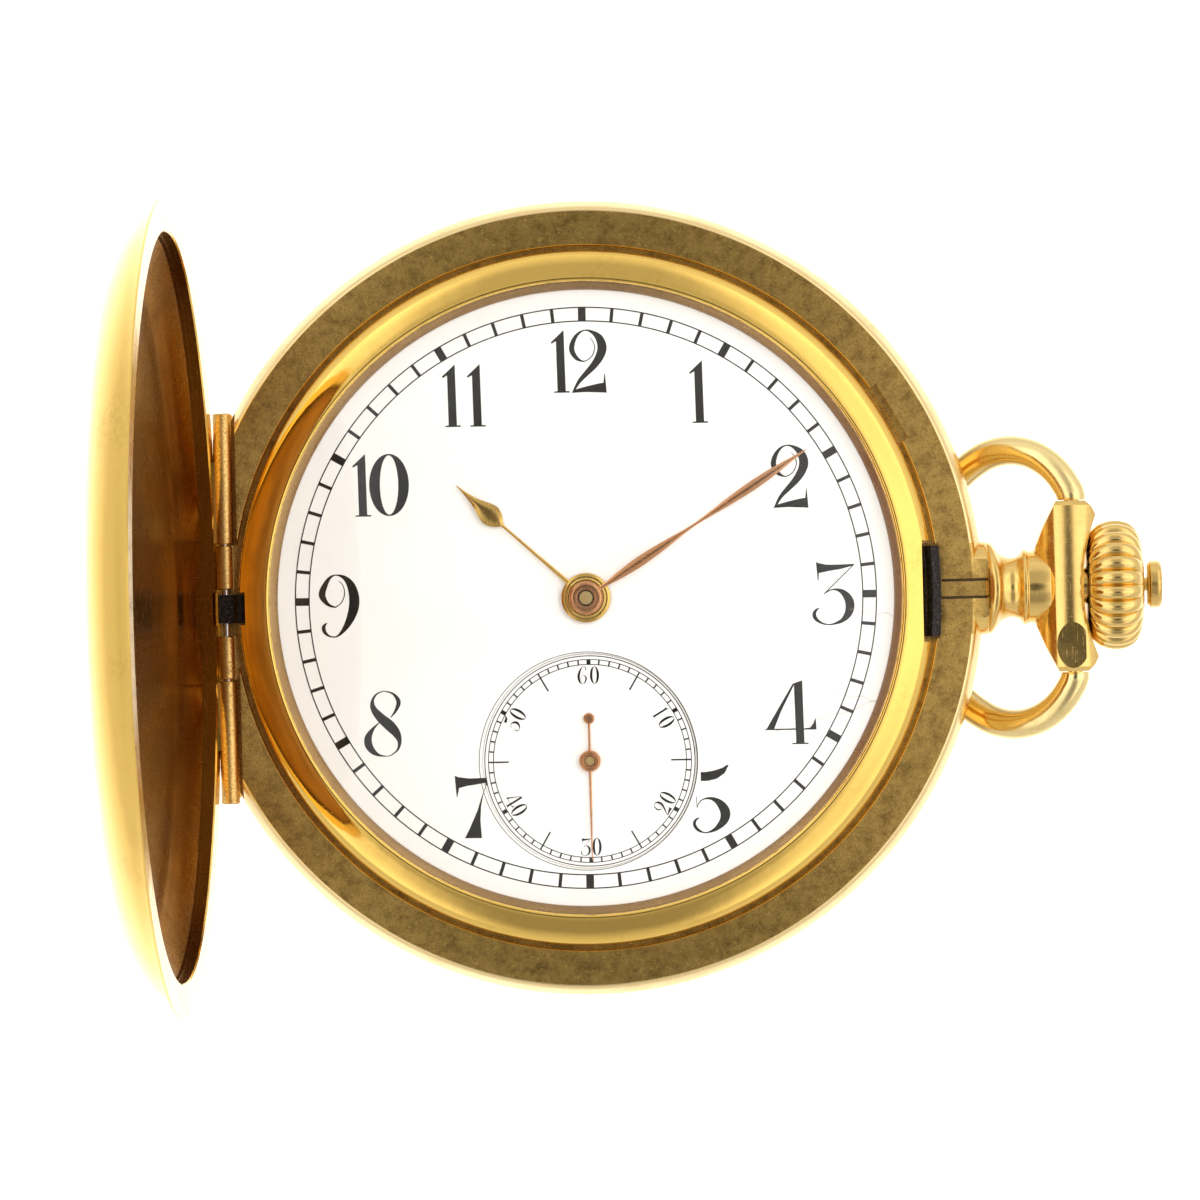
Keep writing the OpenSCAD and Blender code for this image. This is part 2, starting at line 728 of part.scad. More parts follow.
module click() {
  color(STEEL) at(click_at) union() {
    washer(0.7, 2.6, 2.95);
    translate([0, 0, 2.6]) linear_extrude(0.35)
      polygon([[0.3, -0.65], [0.3, 0.65], [-1.5, 1.6], [-5.1, 1.6], [-5.1, 1.3], [-2.5, 0.2]]);
    washer(0.38, 2.6, 3.9);
  }
}

module click_spring() {
  color(STEEL) translate([0, 0, 2.65]) linear_extrude(0.3)
    polygon(concat(arc(click_at, 3.6, 20, 118, 12), arc(click_at, 3.35, 118, 20, 12)));
}

// ---------- movement: going train ----------

module centre_wheel() {
  color(BRASS) union() {
    spoked(80, 0.16, 5.75, 5.95);
    pinion(10, barrel_m, 5.2, 5.65);
    washer(0.55, 5.6, 5.98);
    washer(0.3, 3.5, 5.25);
    washer(0.55, 5.98, 6.85);
    washer(0.42, 6.8, 9.7);
  }
}

module third_wheel() {
  phase = meshed(towards(centre, third), 0, 80, 10);
  color(BRASS) at(third) union() {
    spoked(75, 0.15, 4.85, 5.05);
    pinion(10, 0.16, 5.65, 6, phase);
    washer(0.55, 4.75, 5.7);
    washer(pivot_r, 3.5, 6.6);
  }
}

module fourth_wheel() {
  phase = meshed(towards(third, fourth), 0, 75, 10);
  color(BRASS) at(fourth) union() {
    spoked(80, 0.13, 5.3, 5.5);
    pinion(10, 0.15, 4.75, 5.15, phase);
    washer(0.5, 5.1, 5.3);
    washer(pivot_r, 3.5, 5.5);
    washer(0.5, 5.45, 6);
    washer(0.26, 5.9, 8.7);
  }
}

module escape_wheel() {
  phase = meshed(towards(fourth, escape), 0, 80, 8);
  color(STEEL) at(escape) union() {
    translate([0, 0, escape_z]) linear_extrude(0.16) difference() {
      circle(r = 2.35);
      circle(r = 1.85);
    }
    for (i = [0 : 14]) rotate([0, 0, i * 24]) translate([0, 0, escape_z]) linear_extrude(0.16)
      polygon([[2.2, -0.32], [2.62, -0.02], [3, 0.22], [2.98, 0.32], [2.2, 0.3]]);
    for (i = [0 : 3]) rotate([0, 0, i * 90]) translate([0.3, -0.14, escape_z]) cube([1.7, 0.28, 0.16]);
    pinion(8, 0.13, 5.22, 5.6, phase);
    washer(0.36, 4.9, 5.25);
    washer(pivot_r, 3.5, 6.6);
  }
}

module pallet_fork() {
  a = towards(escape, balance);
  color(STEEL) at(fork) rotate([0, 0, a]) union() {
    translate([0, 0, escape_z]) linear_extrude(0.16) polygon([[2.55, 0.55], [2.1, 0.35], [0.5, 0.22],
      [0.1, 1.4],
      [-0.8, 2.6], [-1.15, 2.45], [-0.4, 0.38], [-0.4, -0.38], [-1.15, -2.45], [-0.8, -2.6], [0.1, -1.4],
      [0.5, -0.22], [2.1, -0.35], [2.55, -0.55], [2.55, -0.24], [2.15, -0.2], [2.15, 0.2], [2.55, 0.24]]);
    washer(0.36, 4.88, 5.3);
    washer(pivot_r, 4.45, 6.6);
  }
}

module balance_wheel() {
  color(GOLD) at(balance) difference() {
    union() {
      washer(balance_r, 3.8, 4.3, balance_r - 0.6);
      translate([-balance_r + 0.5, -0.35, 3.9]) cube([2 * balance_r - 1, 0.7, 0.3]);
      washer(0.9, 3.85, 4.25);
      for (i = [0 : 11]) rotate([0, 0, 15 + i * 30]) translate([balance_r - 0.1, 0, 4.05]) rotate([0,
        90, 0])
        cylinder(r = 0.2, h = 0.38);
    }
    translate([0, 0, 3]) cylinder(r = 0.5, h = 2);
  }
}

module balance_staff() {
  color(STEEL) at(balance) union() {
    washer(0.5, 3.4, 5.1);
    washer(0.12, 2.65, 7.15);
    washer(0.3, 5, 6.6);
    washer(0.95, 5.25, 5.45);
    rotate([0, 0, towards(balance, fork)]) translate([0.72, 0, 5.2]) cylinder(r = 0.12, h = 0.1);
  }
}

module hairspring() {
  turns = 6;
  n = turns * ring_steps;
  spiral = [for (i = [0 : n]) (0.55 + 2.9 * i / n) * [cos(i * 360 / ring_steps),
    sin(i * 360 / ring_steps)]];
  back = [for (i = [n : -1 : 0]) (0.63 + 2.9 * i / n) * [cos(i * 360 / ring_steps),
    sin(i * 360 / ring_steps)]];
  color("steelblue") at(balance, 3.52) linear_extrude(0.16) polygon(concat(spiral, back));
}

module regulator() {
  low = 2.32;
  color(STEEL) at(balance) rotate([0, 0, 205]) difference() {
    union() {
      washer(1.25, low, low + 0.2);
      translate([0.9, -0.18, low]) cube([3.3, 0.36, 0.2]);
      translate([4.3, 0, low]) cylinder(r = 0.3, h = 0.2);
    }
    translate([0, 0, 2]) cylinder(r = 0.65, h = 1);
  }
}

// ---------- movement: motion work and keyless work ----------

module cannon_pinion() {
  color(STEEL) difference() {
    union() {
      pinion(cannon_teeth, motion_m, 7, 7.3);
      washer(0.7, 7.25, 8.9);
      washer(0.5, 8.85, 9.7);
    }
    translate([0, 0, 6]) cylinder(r = 0.43, h = 5);
  }
}

module minute_wheel() {
  phase = meshed(towards(centre, minute_at), 0, cannon_teeth, minute_teeth);
  color(BRASS) at(minute_at) difference() {
    union() {
      spoked(minute_teeth, motion_m, 7.02, 7.25, phase);
      washer(1.1, 7.02, 7.25);
      pinion(minute_leaves, hour_m, 7.2, 7.55);
    }
    translate([0, 0, 6]) cylinder(r = 0.32, h = 3);
  }
}

module hour_wheel() {
  phase = meshed(towards(minute_at, centre), 0, minute_leaves, hour_teeth);
  color(BRASS) difference() {
    union() {
      translate([0, 0, 7.33]) rotate([0, 0, phase]) linear_extrude(0.22) wheel_2d(hour_teeth, hour_m);
      washer(0.95, 7.33, 8.78);
    }
    translate([0, 0, 6]) cylinder(r = 0.73, h = 4);
  }
}

module stem() {
  color(STEEL) along_x(0) difference() {
    union() {
      washer(0.65, 8.8, 19.4);
      washer(0.42, 19.4, 20);
      washer(0.65, 20, 24);
      washer(0.75, 24, 33.8);
    }
    translate([0, 0, 27.1]) cylinder(r = 0.5, h = 8);
  }
}

module winding_pinion() {
  color(STEEL) along_x(0) difference() {
    union() {
      translate([0, 0, 12.45]) rotate([0, 0, 180 / winding_teeth]) linear_extrude(0.5)
        polygon(teeth(winding_teeth, 0.17, 0.7, 1, 0.4));
      washer(0.95, 12.8, 13.6);
    }
    cylinder(r = 0.67, h = 30);
  }
}

module sliding_pinion() {
  color(STEEL) along_x(0) difference() {
    union() {
      washer(1.05, 10.3, 11.3);
      washer(0.75, 11.3, 11.9);
      washer(1.05, 11.9, 12.35);
    }
    cylinder(r = 0.67, h = 30);
  }
}

module setting_lever() {
  color(STEEL) at(lever_pivot) union() {
    translate([0, 0, 7.12]) linear_extrude(0.33)
      polygon([[-0.3, -3.3], [0.3, -3.3], [0.75, -0.6], [0.6, 0.7], [-0.8, 0.7], [-4.2, -0.9],
        [-4.1, -1.6], [-0.8, -0.8]]);
    translate([0, -2.98, 6.35]) cylinder(r = 0.17, h = 0.8);
    translate([0, 0, 6.3]) cylinder(r = 0.18, h = 0.85);
  }
}

module yoke() {
  color(STEEL) at(yoke_pivot) union() {
    translate([0, 0, 7.2]) linear_extrude(0.3)
      polygon([[-0.62, 4.3], [-0.18, 4.3], [0.3, 2], [0.7, 0], [0.4, -0.6], [-0.4, -0.6], [-0.7, 0],
        [-0.6, 2]]);
    translate([0, 0, 6.3]) cylinder(r = 0.18, h = 1);
  }
}

module setting_wheel() {
  phase = meshed(towards(minute_at, setting_at), meshed(towards(centre, minute_at), 0, cannon_teeth,
    minute_teeth),
    minute_teeth, setting_teeth);
  color(BRASS) at(setting_at) difference() {
    spoked(setting_teeth, motion_m, 7.02, 7.22, phase, bore = 0.32);
    translate([0, 0, 6]) cylinder(r = 0.32, h = 3);
  }
}

module motion_studs() {
  color(STEEL) {
    at(minute_at, 6.9) cylinder(r = 0.29, h = 0.62);
    at(setting_at, 6.9) cylinder(r = 0.29, h = 0.36);
  }
}

case_band();
pendant();
pendant_sleeve();
bezel();
crystal();
front_lid();
back_cover();
dust_cover();
lid_hinge_pin();
back_hinge_pin();
lock_spring();
lift_spring();
case_screws();
bow();
bow_screws();
crown();
push_button();
dial();
seconds_dial();
hour_hand();
minute_hand();
seconds_hand();
mainplate();
barrel_bridge();
train_bridge();
balance_cock();
pallet_cock();
bridge_screws();
jewels();
barrel_drum();
barrel_cover();
barrel_arbor();
mainspring();
ratchet_wheel();
ratchet_screw();
crown_wheel();
crown_wheel_core();
click();
click_spring();
centre_wheel();
third_wheel();
fourth_wheel();
escape_wheel();
pallet_fork();
balance_wheel();
balance_staff();
hairspring();
regulator();
cannon_pinion();
minute_wheel();
hour_wheel();
stem();
winding_pinion();
sliding_pinion();
setting_lever();
yoke();
setting_wheel();
motion_studs();
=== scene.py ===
"""Looks of a hunter-case pocket watch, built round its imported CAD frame."""

import json
import math
from math import atan2, cos, hypot, pi, radians, sin, sqrt

import bmesh
import bpy
from mathutils import Matrix, Vector


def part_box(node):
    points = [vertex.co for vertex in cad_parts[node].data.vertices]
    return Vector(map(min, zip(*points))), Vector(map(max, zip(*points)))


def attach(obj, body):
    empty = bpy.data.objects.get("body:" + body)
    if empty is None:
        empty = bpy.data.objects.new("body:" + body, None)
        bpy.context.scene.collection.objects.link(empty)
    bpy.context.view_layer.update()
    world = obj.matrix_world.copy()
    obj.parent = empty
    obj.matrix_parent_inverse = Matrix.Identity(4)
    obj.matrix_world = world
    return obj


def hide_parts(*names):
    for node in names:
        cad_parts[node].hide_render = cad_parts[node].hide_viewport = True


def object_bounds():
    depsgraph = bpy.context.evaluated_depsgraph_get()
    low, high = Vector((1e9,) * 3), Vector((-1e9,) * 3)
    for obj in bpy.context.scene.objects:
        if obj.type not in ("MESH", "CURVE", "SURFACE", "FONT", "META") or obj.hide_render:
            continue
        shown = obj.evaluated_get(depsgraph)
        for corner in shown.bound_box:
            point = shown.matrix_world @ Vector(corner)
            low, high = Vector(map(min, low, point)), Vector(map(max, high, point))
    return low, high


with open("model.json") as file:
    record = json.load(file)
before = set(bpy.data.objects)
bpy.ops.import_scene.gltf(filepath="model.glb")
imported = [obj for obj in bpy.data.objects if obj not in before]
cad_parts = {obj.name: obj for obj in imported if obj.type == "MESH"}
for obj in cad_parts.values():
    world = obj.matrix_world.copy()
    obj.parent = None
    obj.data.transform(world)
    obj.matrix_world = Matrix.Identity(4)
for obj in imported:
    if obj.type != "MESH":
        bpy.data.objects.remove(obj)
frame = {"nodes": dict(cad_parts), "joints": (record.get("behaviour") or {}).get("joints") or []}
cad_low, cad_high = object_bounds()

MM = 0.001
JOINTS = {j["name"]: j for j in frame["joints"]}


def top_of(node):
    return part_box(node)[1].z / MM


def centre_of(node):
    low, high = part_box(node)
    return (low + high) / 2 / MM


# ---------- shaders ----------

class Nodes:
    """Short ways to add nodes to a tree and to wire them up."""

    def __init__(self, tree):
        self.tree = tree

    def link(self, value, socket):
        if hasattr(value, "is_linked"):
            self.tree.links.new(value, socket)
        elif socket.type == "RGBA" and len(value) == 3:
            socket.default_value = (*value, 1)
        else:
            socket.default_value = value

    def add(self, kind, *values, **settings):
        """A new node with these settings, whose first inputs get these values. None leaves an input alone."""
        node = self.tree.nodes.new("ShaderNode" + kind)
        for key, value in settings.items():
            setattr(node, key, value)
        for value, socket in zip(values, node.inputs):
            if value is not None:
                self.link(value, socket)
        return node

    def math(self, operation, a, b=None, clamp=False):
        return self.add("Math", a, b, operation=operation, use_clamp=clamp).outputs[0]

    def times(self, a, b, clamp=False):
        return self.math("MULTIPLY", a, b, clamp)

    def plus(self, a, b):
        return self.math("ADD", a, b)

    def ramp(self, value, low, high, to_low=0.0, to_high=1.0):
        """Eases from to_low to to_high as the value goes from low to high."""
        node = self.add("MapRange", value, low, high, to_low, to_high, interpolation_type="SMOOTHSTEP")
        return node.outputs[0]


class Shader(Nodes):
    """A Principled material. Lengths in its textures are millimetres."""

    def __init__(self, name, color, metallic=0.0, roughness=0.4, **sockets):
        self.material = bpy.data.materials.new(name)
        self.material.use_nodes = True
        super().__init__(self.material.node_tree)
        self.bsdf = self.tree.nodes["Principled BSDF"]
        self.bsdf.inputs["Base Color"].default_value = (*color, 1)
        self.bsdf.inputs["Metallic"].default_value = metallic
        self.bsdf.inputs["Roughness"].default_value = roughness
        for key, value in sockets.items():
            self.bsdf.inputs[key.replace("_", " ")].default_value = value
        scaled = self.add("VectorMath", self.add("TexCoord").outputs["Object"], operation="SCALE")
        scaled.inputs["Scale"].default_value = 1 / MM
        self.mm = scaled.outputs[0]

    def split(self):
        return self.add("SeparateXYZ", self.mm).outputs

    def join(self, x, y, z):
        return self.add("CombineXYZ", x, y, z).outputs[0]

    def noise(self, scale, where=None, detail=3.0, rough=0.55):
        node = self.add("TexNoise", self.mm if where is None else where)
        node.inputs["Scale"].default_value = scale
        node.inputs["Detail"].default_value = detail
        node.inputs["Roughness"].default_value = rough
        return node.outputs["Fac"]

    def streaks(self, x, y, z, detail=3.0):
        """Noise that is drawn out along the axes with the smaller numbers."""
        drawn = self.add("VectorMath", self.mm, (x, y, z), operation="MULTIPLY")
        return self.noise(1.0, drawn.outputs[0], detail=detail)

    def cells(self, scale):
        """Distance to the nearest of many scattered points."""
        node = self.add("TexVoronoi", self.mm)
        node.inputs["Scale"].default_value = scale
        return node.outputs["Distance"]

    def mix(self, factor, a, b):
        node = self.add("Mix", factor, data_type="RGBA")
        self.link(a, node.inputs[6])
        self.link(b, node.inputs[7])
        return node.outputs[2]

    def bump(self, height, strength, depth, under=None):
        node = self.add("Bump")
        node.inputs["Strength"].default_value = strength
        node.inputs["Distance"].default_value = depth * MM
        self.link(height, node.inputs["Height"])
        if under is not None:
            self.link(under, node.inputs["Normal"])
        self.link(node.outputs[0], self.bsdf.inputs["Normal"])
        return node.outputs[0]

    def set(self, socket, value):
        self.link(value, self.bsdf.inputs[socket])

    def round_axis(self):
        """Radius and direction round the Z axis, and the height, in millimetres."""
        x, y, z = self.split()
        r = self.math("SQRT", self.plus(self.times(x, x), self.times(y, y)))
        safe = self.math("MAXIMUM", r, 0.001)
        return r, self.math("DIVIDE", x, safe), self.math("DIVIDE", y, safe), z

    def ring_grain(self, across, along):
        """Streaks that run round the Z axis."""
        r, c, s, z = self.round_axis()
        where = self.join(self.times(self.plus(r, z), across), self.times(c, along), self.times(s, along))
        return self.noise(1.0, where, detail=4.0, rough=0.65)


def polished_gold(name, color, dark, roughness, wear, scratch):
    """Polished gold: soft ripples from hand polishing, fine hairlines, small dings and tarnish in patches."""
    m = Shader(name, color, metallic=1.0, roughness=roughness)
    patches = m.noise(0.22, detail=4.0, rough=0.6)
    fine = m.noise(2.6, detail=5.0, rough=0.7)
    hair_a = m.streaks(26.0, 1.1, 3.0, detail=2.0)
    hair_b = m.streaks(1.3, 22.0, 2.0, detail=2.0)
    tarnish = m.times(m.ramp(patches, 0.45, 0.75), m.ramp(fine, 0.35, 0.75), clamp=True)
    m.set("Base Color", m.mix(m.times(tarnish, wear), color, dark))
    hairs = m.math("MAXIMUM", m.ramp(hair_a, 0.62, 0.75), m.ramp(hair_b, 0.64, 0.77))
    rough = m.plus(m.ramp(patches, 0.3, 0.75, roughness * 0.7, roughness * 1.4),
                   m.times(hairs, 0.12 * scratch))
    m.set("Roughness", rough)
    ripple = m.noise(0.55, detail=2.0)
    first = m.bump(ripple, 0.25, 0.06)
    second = m.bump(hairs, 0.12 * scratch, 0.006, first)
    pits = m.ramp(m.cells(1.4), 0.0, 0.09, 1.0, 0.0)
    m.bump(m.times(pits, -1.0), 0.35, 0.012, second)
    return m.material


def brushed_rim(name, color, dark):
    """Turned gold: concentric grain, brown patches where the lid rubs, and dark pits."""
    m = Shader(name, color, metallic=1.0, roughness=0.3, Anisotropic=0.85, Anisotropic_Rotation=0.25)
    m.set("Tangent", m.add("Tangent", direction_type="RADIAL", axis="Z").outputs[0])
    grain = m.ring_grain(16.0, 40.0)
    sand = m.noise(6.0, detail=6.0, rough=0.8)
    patches = m.noise(0.9, detail=8.0, rough=0.8)
    color_a = m.mix(m.times(m.ramp(patches, 0.4, 0.7), 0.75), color, dark)
    specks = m.math("MAXIMUM", m.ramp(grain, 0.55, 0.75), m.ramp(sand, 0.52, 0.72))
    color_b = m.mix(m.times(specks, 0.5), color_a, dark)
    spots = m.ramp(m.cells(3.4), 0.04, 0.2, 1.0, 0.0)
    pits = m.times(spots, m.ramp(m.noise(0.8), 0.45, 0.56), clamp=True)
    m.set("Base Color", m.mix(pits, color_b, [c * 0.3 for c in dark]))
    m.set("Roughness", m.plus(m.ramp(sand, 0.3, 0.7, 0.22, 0.34), m.times(pits, 0.3)))
    first = m.bump(grain, 0.3, 0.02)
    second = m.bump(sand, 0.25, 0.02, first)
    m.bump(m.times(pits, -1.0), 0.7, 0.03, second)
    return m.material


def lid_inside(name, color, dark):
    """Inside of the lid: turned rings left by the spinning chuck, wiped scratches and brown tarnish in
    patches, on a dark amber base colour that is painted shade of the hollow.
    """
    m = Shader(name, color, metallic=1.0, roughness=0.2)
    r = m.round_axis()[0]
    rings = m.noise(1.0, m.join(m.times(r, 2.2), 0.0, 0.0), detail=2.0)
    scratch = m.streaks(14.0, 0.7, 1.0, detail=3.0)
    cross = m.streaks(0.8, 17.0, 1.0, detail=3.0)
    patches = m.noise(0.17, detail=4.0)
    m.set("Base Color", m.mix(m.ramp(patches, 0.35, 0.7, 0.1, 0.6), color, dark))
    lines = m.math("MAXIMUM", m.ramp(scratch, 0.6, 0.74), m.ramp(cross, 0.62, 0.76))
    m.set("Roughness", m.plus(m.ramp(patches, 0.3, 0.7, 0.16, 0.3), m.times(lines, 0.2)))
    first = m.bump(rings, 0.2, 0.05)
    m.bump(lines, 0.2, 0.01, first)
    return m.material


def enamel(name, color):
    """Fired enamel: glassy, faintly uneven, warm white with a few specks."""
    m = Shader(name, color, roughness=0.12, Coat_Weight=0.25, Coat_Roughness=0.03)
    tone = m.noise(0.12, detail=3.0)
    specks = m.ramp(m.cells(0.55), 0.0, 0.035, 1.0, 0.0)
    soft = m.mix(m.ramp(tone, 0.3, 0.7), color, [color[0], color[1] * 0.985, color[2] * 0.955])
    m.set("Base Color", m.mix(m.times(specks, 0.45), soft, (0.5, 0.42, 0.33)))
    m.set("Roughness", m.ramp(m.noise(0.9), 0.3, 0.7, 0.08, 0.2))
    m.bump(m.noise(0.35, detail=1.0), 0.12, 0.05)
    return m.material


def ink(name, color):
    m = Shader(name, color, roughness=0.3, Specular_IOR_Level=0.2)
    m.set("Base Color", m.mix(m.ramp(m.noise(6.0), 0.45, 0.75, 0.0, 0.5), color, [0.02 + c for c in color]))
    m.bump(m.noise(9.0), 0.2, 0.01)
    return m.material


def worn_steel(name, color, light, roughness):
    """Steel whose oxide has rubbed off in specks, with a coarse grain."""
    m = Shader(name, color, metallic=1.0, roughness=roughness)
    grain = m.noise(7.0, detail=6.0, rough=0.75)
    m.set("Base Color", m.mix(m.ramp(grain, 0.48, 0.72), color, light))
    m.set("Roughness", m.ramp(grain, 0.3, 0.7, roughness * 0.8, min(0.9, roughness * 1.5)))
    m.bump(grain, 0.6, 0.03)
    return m.material


def bright_steel(name, color, roughness):
    """Straight-grained steel."""
    m = Shader(name, color, metallic=1.0, roughness=roughness)
    grain = m.streaks(3.0, 40.0, 3.0, detail=3.0)
    m.set("Base Color", m.mix(m.ramp(grain, 0.3, 0.7), color, [c * 0.82 for c in color]))
    m.set("Roughness", m.ramp(grain, 0.3, 0.7, roughness * 0.8, roughness * 1.3))
    m.bump(grain, 0.25, 0.006)
    return m.material


def striped_gilt(name, color, dark, pitch=1.35):
    """Gilt plate with straight waved stripes, each with its own fine curved grain."""
    m = Shader(name, color, metallic=1.0, roughness=0.3)
    p = m.split()
    along = m.math("DIVIDE", m.plus(p[0], m.times(p[1], 0.35)), pitch)
    step = m.math("FRACT", along)
    grain = m.streaks(4.0, 30.0, 4.0, detail=3.0)
    m.set("Base Color", m.mix(m.ramp(m.noise(0.5), 0.35, 0.7, 0.0, 0.6), color, dark))
    m.set("Roughness", m.plus(m.times(step, 0.14), m.ramp(grain, 0.3, 0.7, 0.18, 0.3)))
    first = m.bump(step, 0.35, 0.05)
    m.bump(grain, 0.3, 0.01, first)
    return m.material


def frosted_gilt(name, color, dark):
    """Matt gilding: an even sandy grain."""
    m = Shader(name, color, metallic=1.0, roughness=0.42)
    grain = m.noise(16.0, detail=3.0)
    m.set("Base Color", m.mix(m.ramp(m.noise(0.6, detail=4.0), 0.35, 0.7, 0.0, 0.7), color, dark))
    m.set("Roughness", m.ramp(grain, 0.3, 0.7, 0.34, 0.5))
    m.bump(grain, 0.4, 0.015)
    return m.material


def clear_glass(name):
    """Thin watch glass: it shows what is behind it and mirrors more at a slant."""
    m = Shader(name, (1.0, 1.0, 1.0), metallic=1.0, roughness=0.02)
    slant = m.add("LayerWeight", 0.5)
    m.set("Alpha", m.plus(m.times(m.math("POWER", slant.outputs["Facing"], 4.0), 0.5), 0.028))
    smear = m.noise(0.4, detail=4.0)
    m.set("Roughness", m.ramp(smear, 0.4, 0.7, 0.01, 0.06))
    return m.material


def ruby(name):
    m = Shader(name, (0.55, 0.02, 0.06), roughness=0.05, Coat_Weight=0.6, Coat_Roughness=0.02)
    m.set("Base Color", m.mix(m.ramp(m.noise(1.5), 0.3, 0.7), (0.62, 0.03, 0.1), (0.36, 0.01, 0.04)))
    return m.material


GOLD = (0.93, 0.61, 0.15)
GOLD_DARK = (0.55, 0.3, 0.06)
# Name, colour, tarnish, roughness, wear and scratches of each polished gold
POLISHED = {
    "gold": ("gold_polished", GOLD, GOLD_DARK, 0.13, 0.5, 1.0),
    "gold_fine": ("gold_bezel", GOLD, GOLD_DARK, 0.09, 0.35, 0.7),
    "gold_worn": ("gold_worn", (0.86, 0.58, 0.19), (0.46, 0.28, 0.08), 0.2, 0.8, 1.6),
    # bright: a paler copy of the gold for the band's upper outer edge, a painted highlight.
    "bright": ("gold_band_edge_painted_highlight", (0.93, 0.71, 0.35), (0.7, 0.46, 0.18), 0.3, 0.6, 1.0),
    "bow": ("gold_bow", (0.95, 0.74, 0.34), (0.66, 0.44, 0.16), 0.18, 0.6, 1.2),
    "crown": ("gold_crown", (0.84, 0.58, 0.2), (0.42, 0.26, 0.08), 0.16, 0.8, 0.8),
    # lip: a darker brown copy of the gold, painted shade of the recess under the glass's edge.
    "lip": ("gold_inner_lip_painted_shade", (0.42, 0.26, 0.12), (0.22, 0.12, 0.05), 0.3, 0.8, 1.0),
    "gold_hand": ("gold_hand", (0.78, 0.5, 0.14), (0.3, 0.16, 0.04), 0.22, 1.0, 1.2),
    "rose": ("gold_rose", (0.72, 0.36, 0.17), (0.3, 0.13, 0.06), 0.25, 1.0, 1.5),
}
MATERIALS = {key: polished_gold(*row) for key, row in POLISHED.items()}
MATERIALS.update({
    "rim": brushed_rim("gold_turned_rim", (0.66, 0.42, 0.12), (0.2, 0.11, 0.03)),
    # The dark amber of the lid's and the back's insides is painted shade of the hollow, not the gold's own
    # colour.
    "inside": lid_inside("gold_lid_inside_painted_shade", (0.31, 0.13, 0.016), (0.14, 0.05, 0.006)),
    "enamel": enamel("enamel_white", (0.94, 0.93, 0.905)),
    "ink": ink("enamel_black_print", (0.012, 0.011, 0.01)),
    # Near-black brown for the grooves beside the push-rod channel: painted shade in the grooves.
    "groove_shade": ink("gold_groove_painted_shade", (0.07, 0.04, 0.016)),
    "hinge": worn_steel("gold_hinge_pitted", (0.8, 0.5, 0.17), (0.2, 0.11, 0.035), 0.28),
    "crack": ink("enamel_hairline", (0.42, 0.36, 0.27)),
    "black_steel": worn_steel("steel_blackened", (0.03, 0.026, 0.024), (0.17, 0.15, 0.14), 0.42),
    "dark_pin": worn_steel("steel_dark_centre", (0.12, 0.085, 0.06), (0.3, 0.22, 0.15), 0.4),
    "steel": bright_steel("steel_grained", (0.62, 0.61, 0.6), 0.22),
    "blued": bright_steel("steel_blued", (0.05, 0.09, 0.4), 0.18),
    "striped": striped_gilt("gilt_striped", (0.83, 0.62, 0.3), (0.6, 0.4, 0.15)),
    "frosted": frosted_gilt("gilt_frosted", (0.8, 0.6, 0.28), (0.55, 0.37, 0.15)),
    "glass": clear_glass("watch_glass"),
    "ruby": ruby("ruby_jewel"),
})

# ---------- geometry ----------


ON_AXIS = 1e-6  # a point nearer the axis than this lies on it
SHARP = 32.0  # edges that turn by more degrees than this stay crisp


def round_turn(n):
    return [2 * pi * k / n for k in range(n)]


def shown(name, data):
    obj = bpy.data.objects.new(name, data)
    bpy.context.scene.collection.objects.link(obj)
    return obj


def finish_mesh(obj, angle=SHARP):
    mesh = obj.data
    mesh.shade_smooth()
    mesh.set_sharp_from_angle(angle=radians(angle))
    return obj


def new_object(name, verts, faces, material, angle=SHARP, merge=1e-4):
    """A mesh object from points in millimetres."""
    mesh = bpy.data.meshes.new(name)
    mesh.from_pydata([Vector(v) * MM for v in verts], [], faces)
    work = bmesh.new()
    work.from_mesh(mesh)
    bmesh.ops.remove_doubles(work, verts=work.verts, dist=merge * MM)
    bmesh.ops.recalc_face_normals(work, faces=work.faces)
    work.to_mesh(mesh)
    work.free()
    obj = shown(name, mesh)
    mesh.materials.append(MATERIALS[material])
    return finish_mesh(obj, angle)


def eased(points, radii, steps=4):
    """A closed outline with its corners rounded. radii is one radius, or one for each corner."""
    out = []
    count = len(points)
    for i, p in enumerate(points):
        r = radii if isinstance(radii, (int, float)) else radii[i]
        p = Vector(p)
        a, b = Vector(points[i - 1]) - p, Vector(points[(i + 1) % count]) - p
        cut = min(r, 0.45 * a.length, 0.45 * b.length)
        if cut < 1e-4:
            out.append(tuple(p))
            continue
        start, end = p + a.normalized() * cut, p + b.normalized() * cut
        for k in range(steps + 1):
            t = k / steps
            out.append(tuple(start * (1 - t) ** 2 + p * 2 * t * (1 - t) + end * t * t))
    return out


def arc(cx, cy, r, a, b, n):
    angles = [radians(a + (b - a) * i / n) for i in range(n + 1)]
    return [(cx + r * cos(t), cy + r * sin(t)) for t in angles]


def wrapped(name, columns, material, angle=SHARP):
    """Skin over closed outlines that stand one after another round the Z axis."""
    verts = [point for column in columns for point in column]
    n = len(columns[0])
    faces = []
    for k in range(len(columns)):
        a, b = k * n, (k + 1) % len(columns) * n
        for i in range(n):
            j = (i + 1) % n
            if max(hypot(*verts[a + i][:2]), hypot(*verts[a + j][:2])) >= ON_AXIS:
                faces.append((a + i, b + i, b + j, a + j))
    return new_object(name, verts, faces, material, angle)


def turned(name, outline, material, steps=256, angle=SHARP):
    """Solid of revolution about Z from a closed outline of (radius, height)."""
    columns = [[(r * cos(t), r * sin(t), z) for r, z in outline] for t in round_turn(steps)]
    return wrapped(name, columns, material, angle)


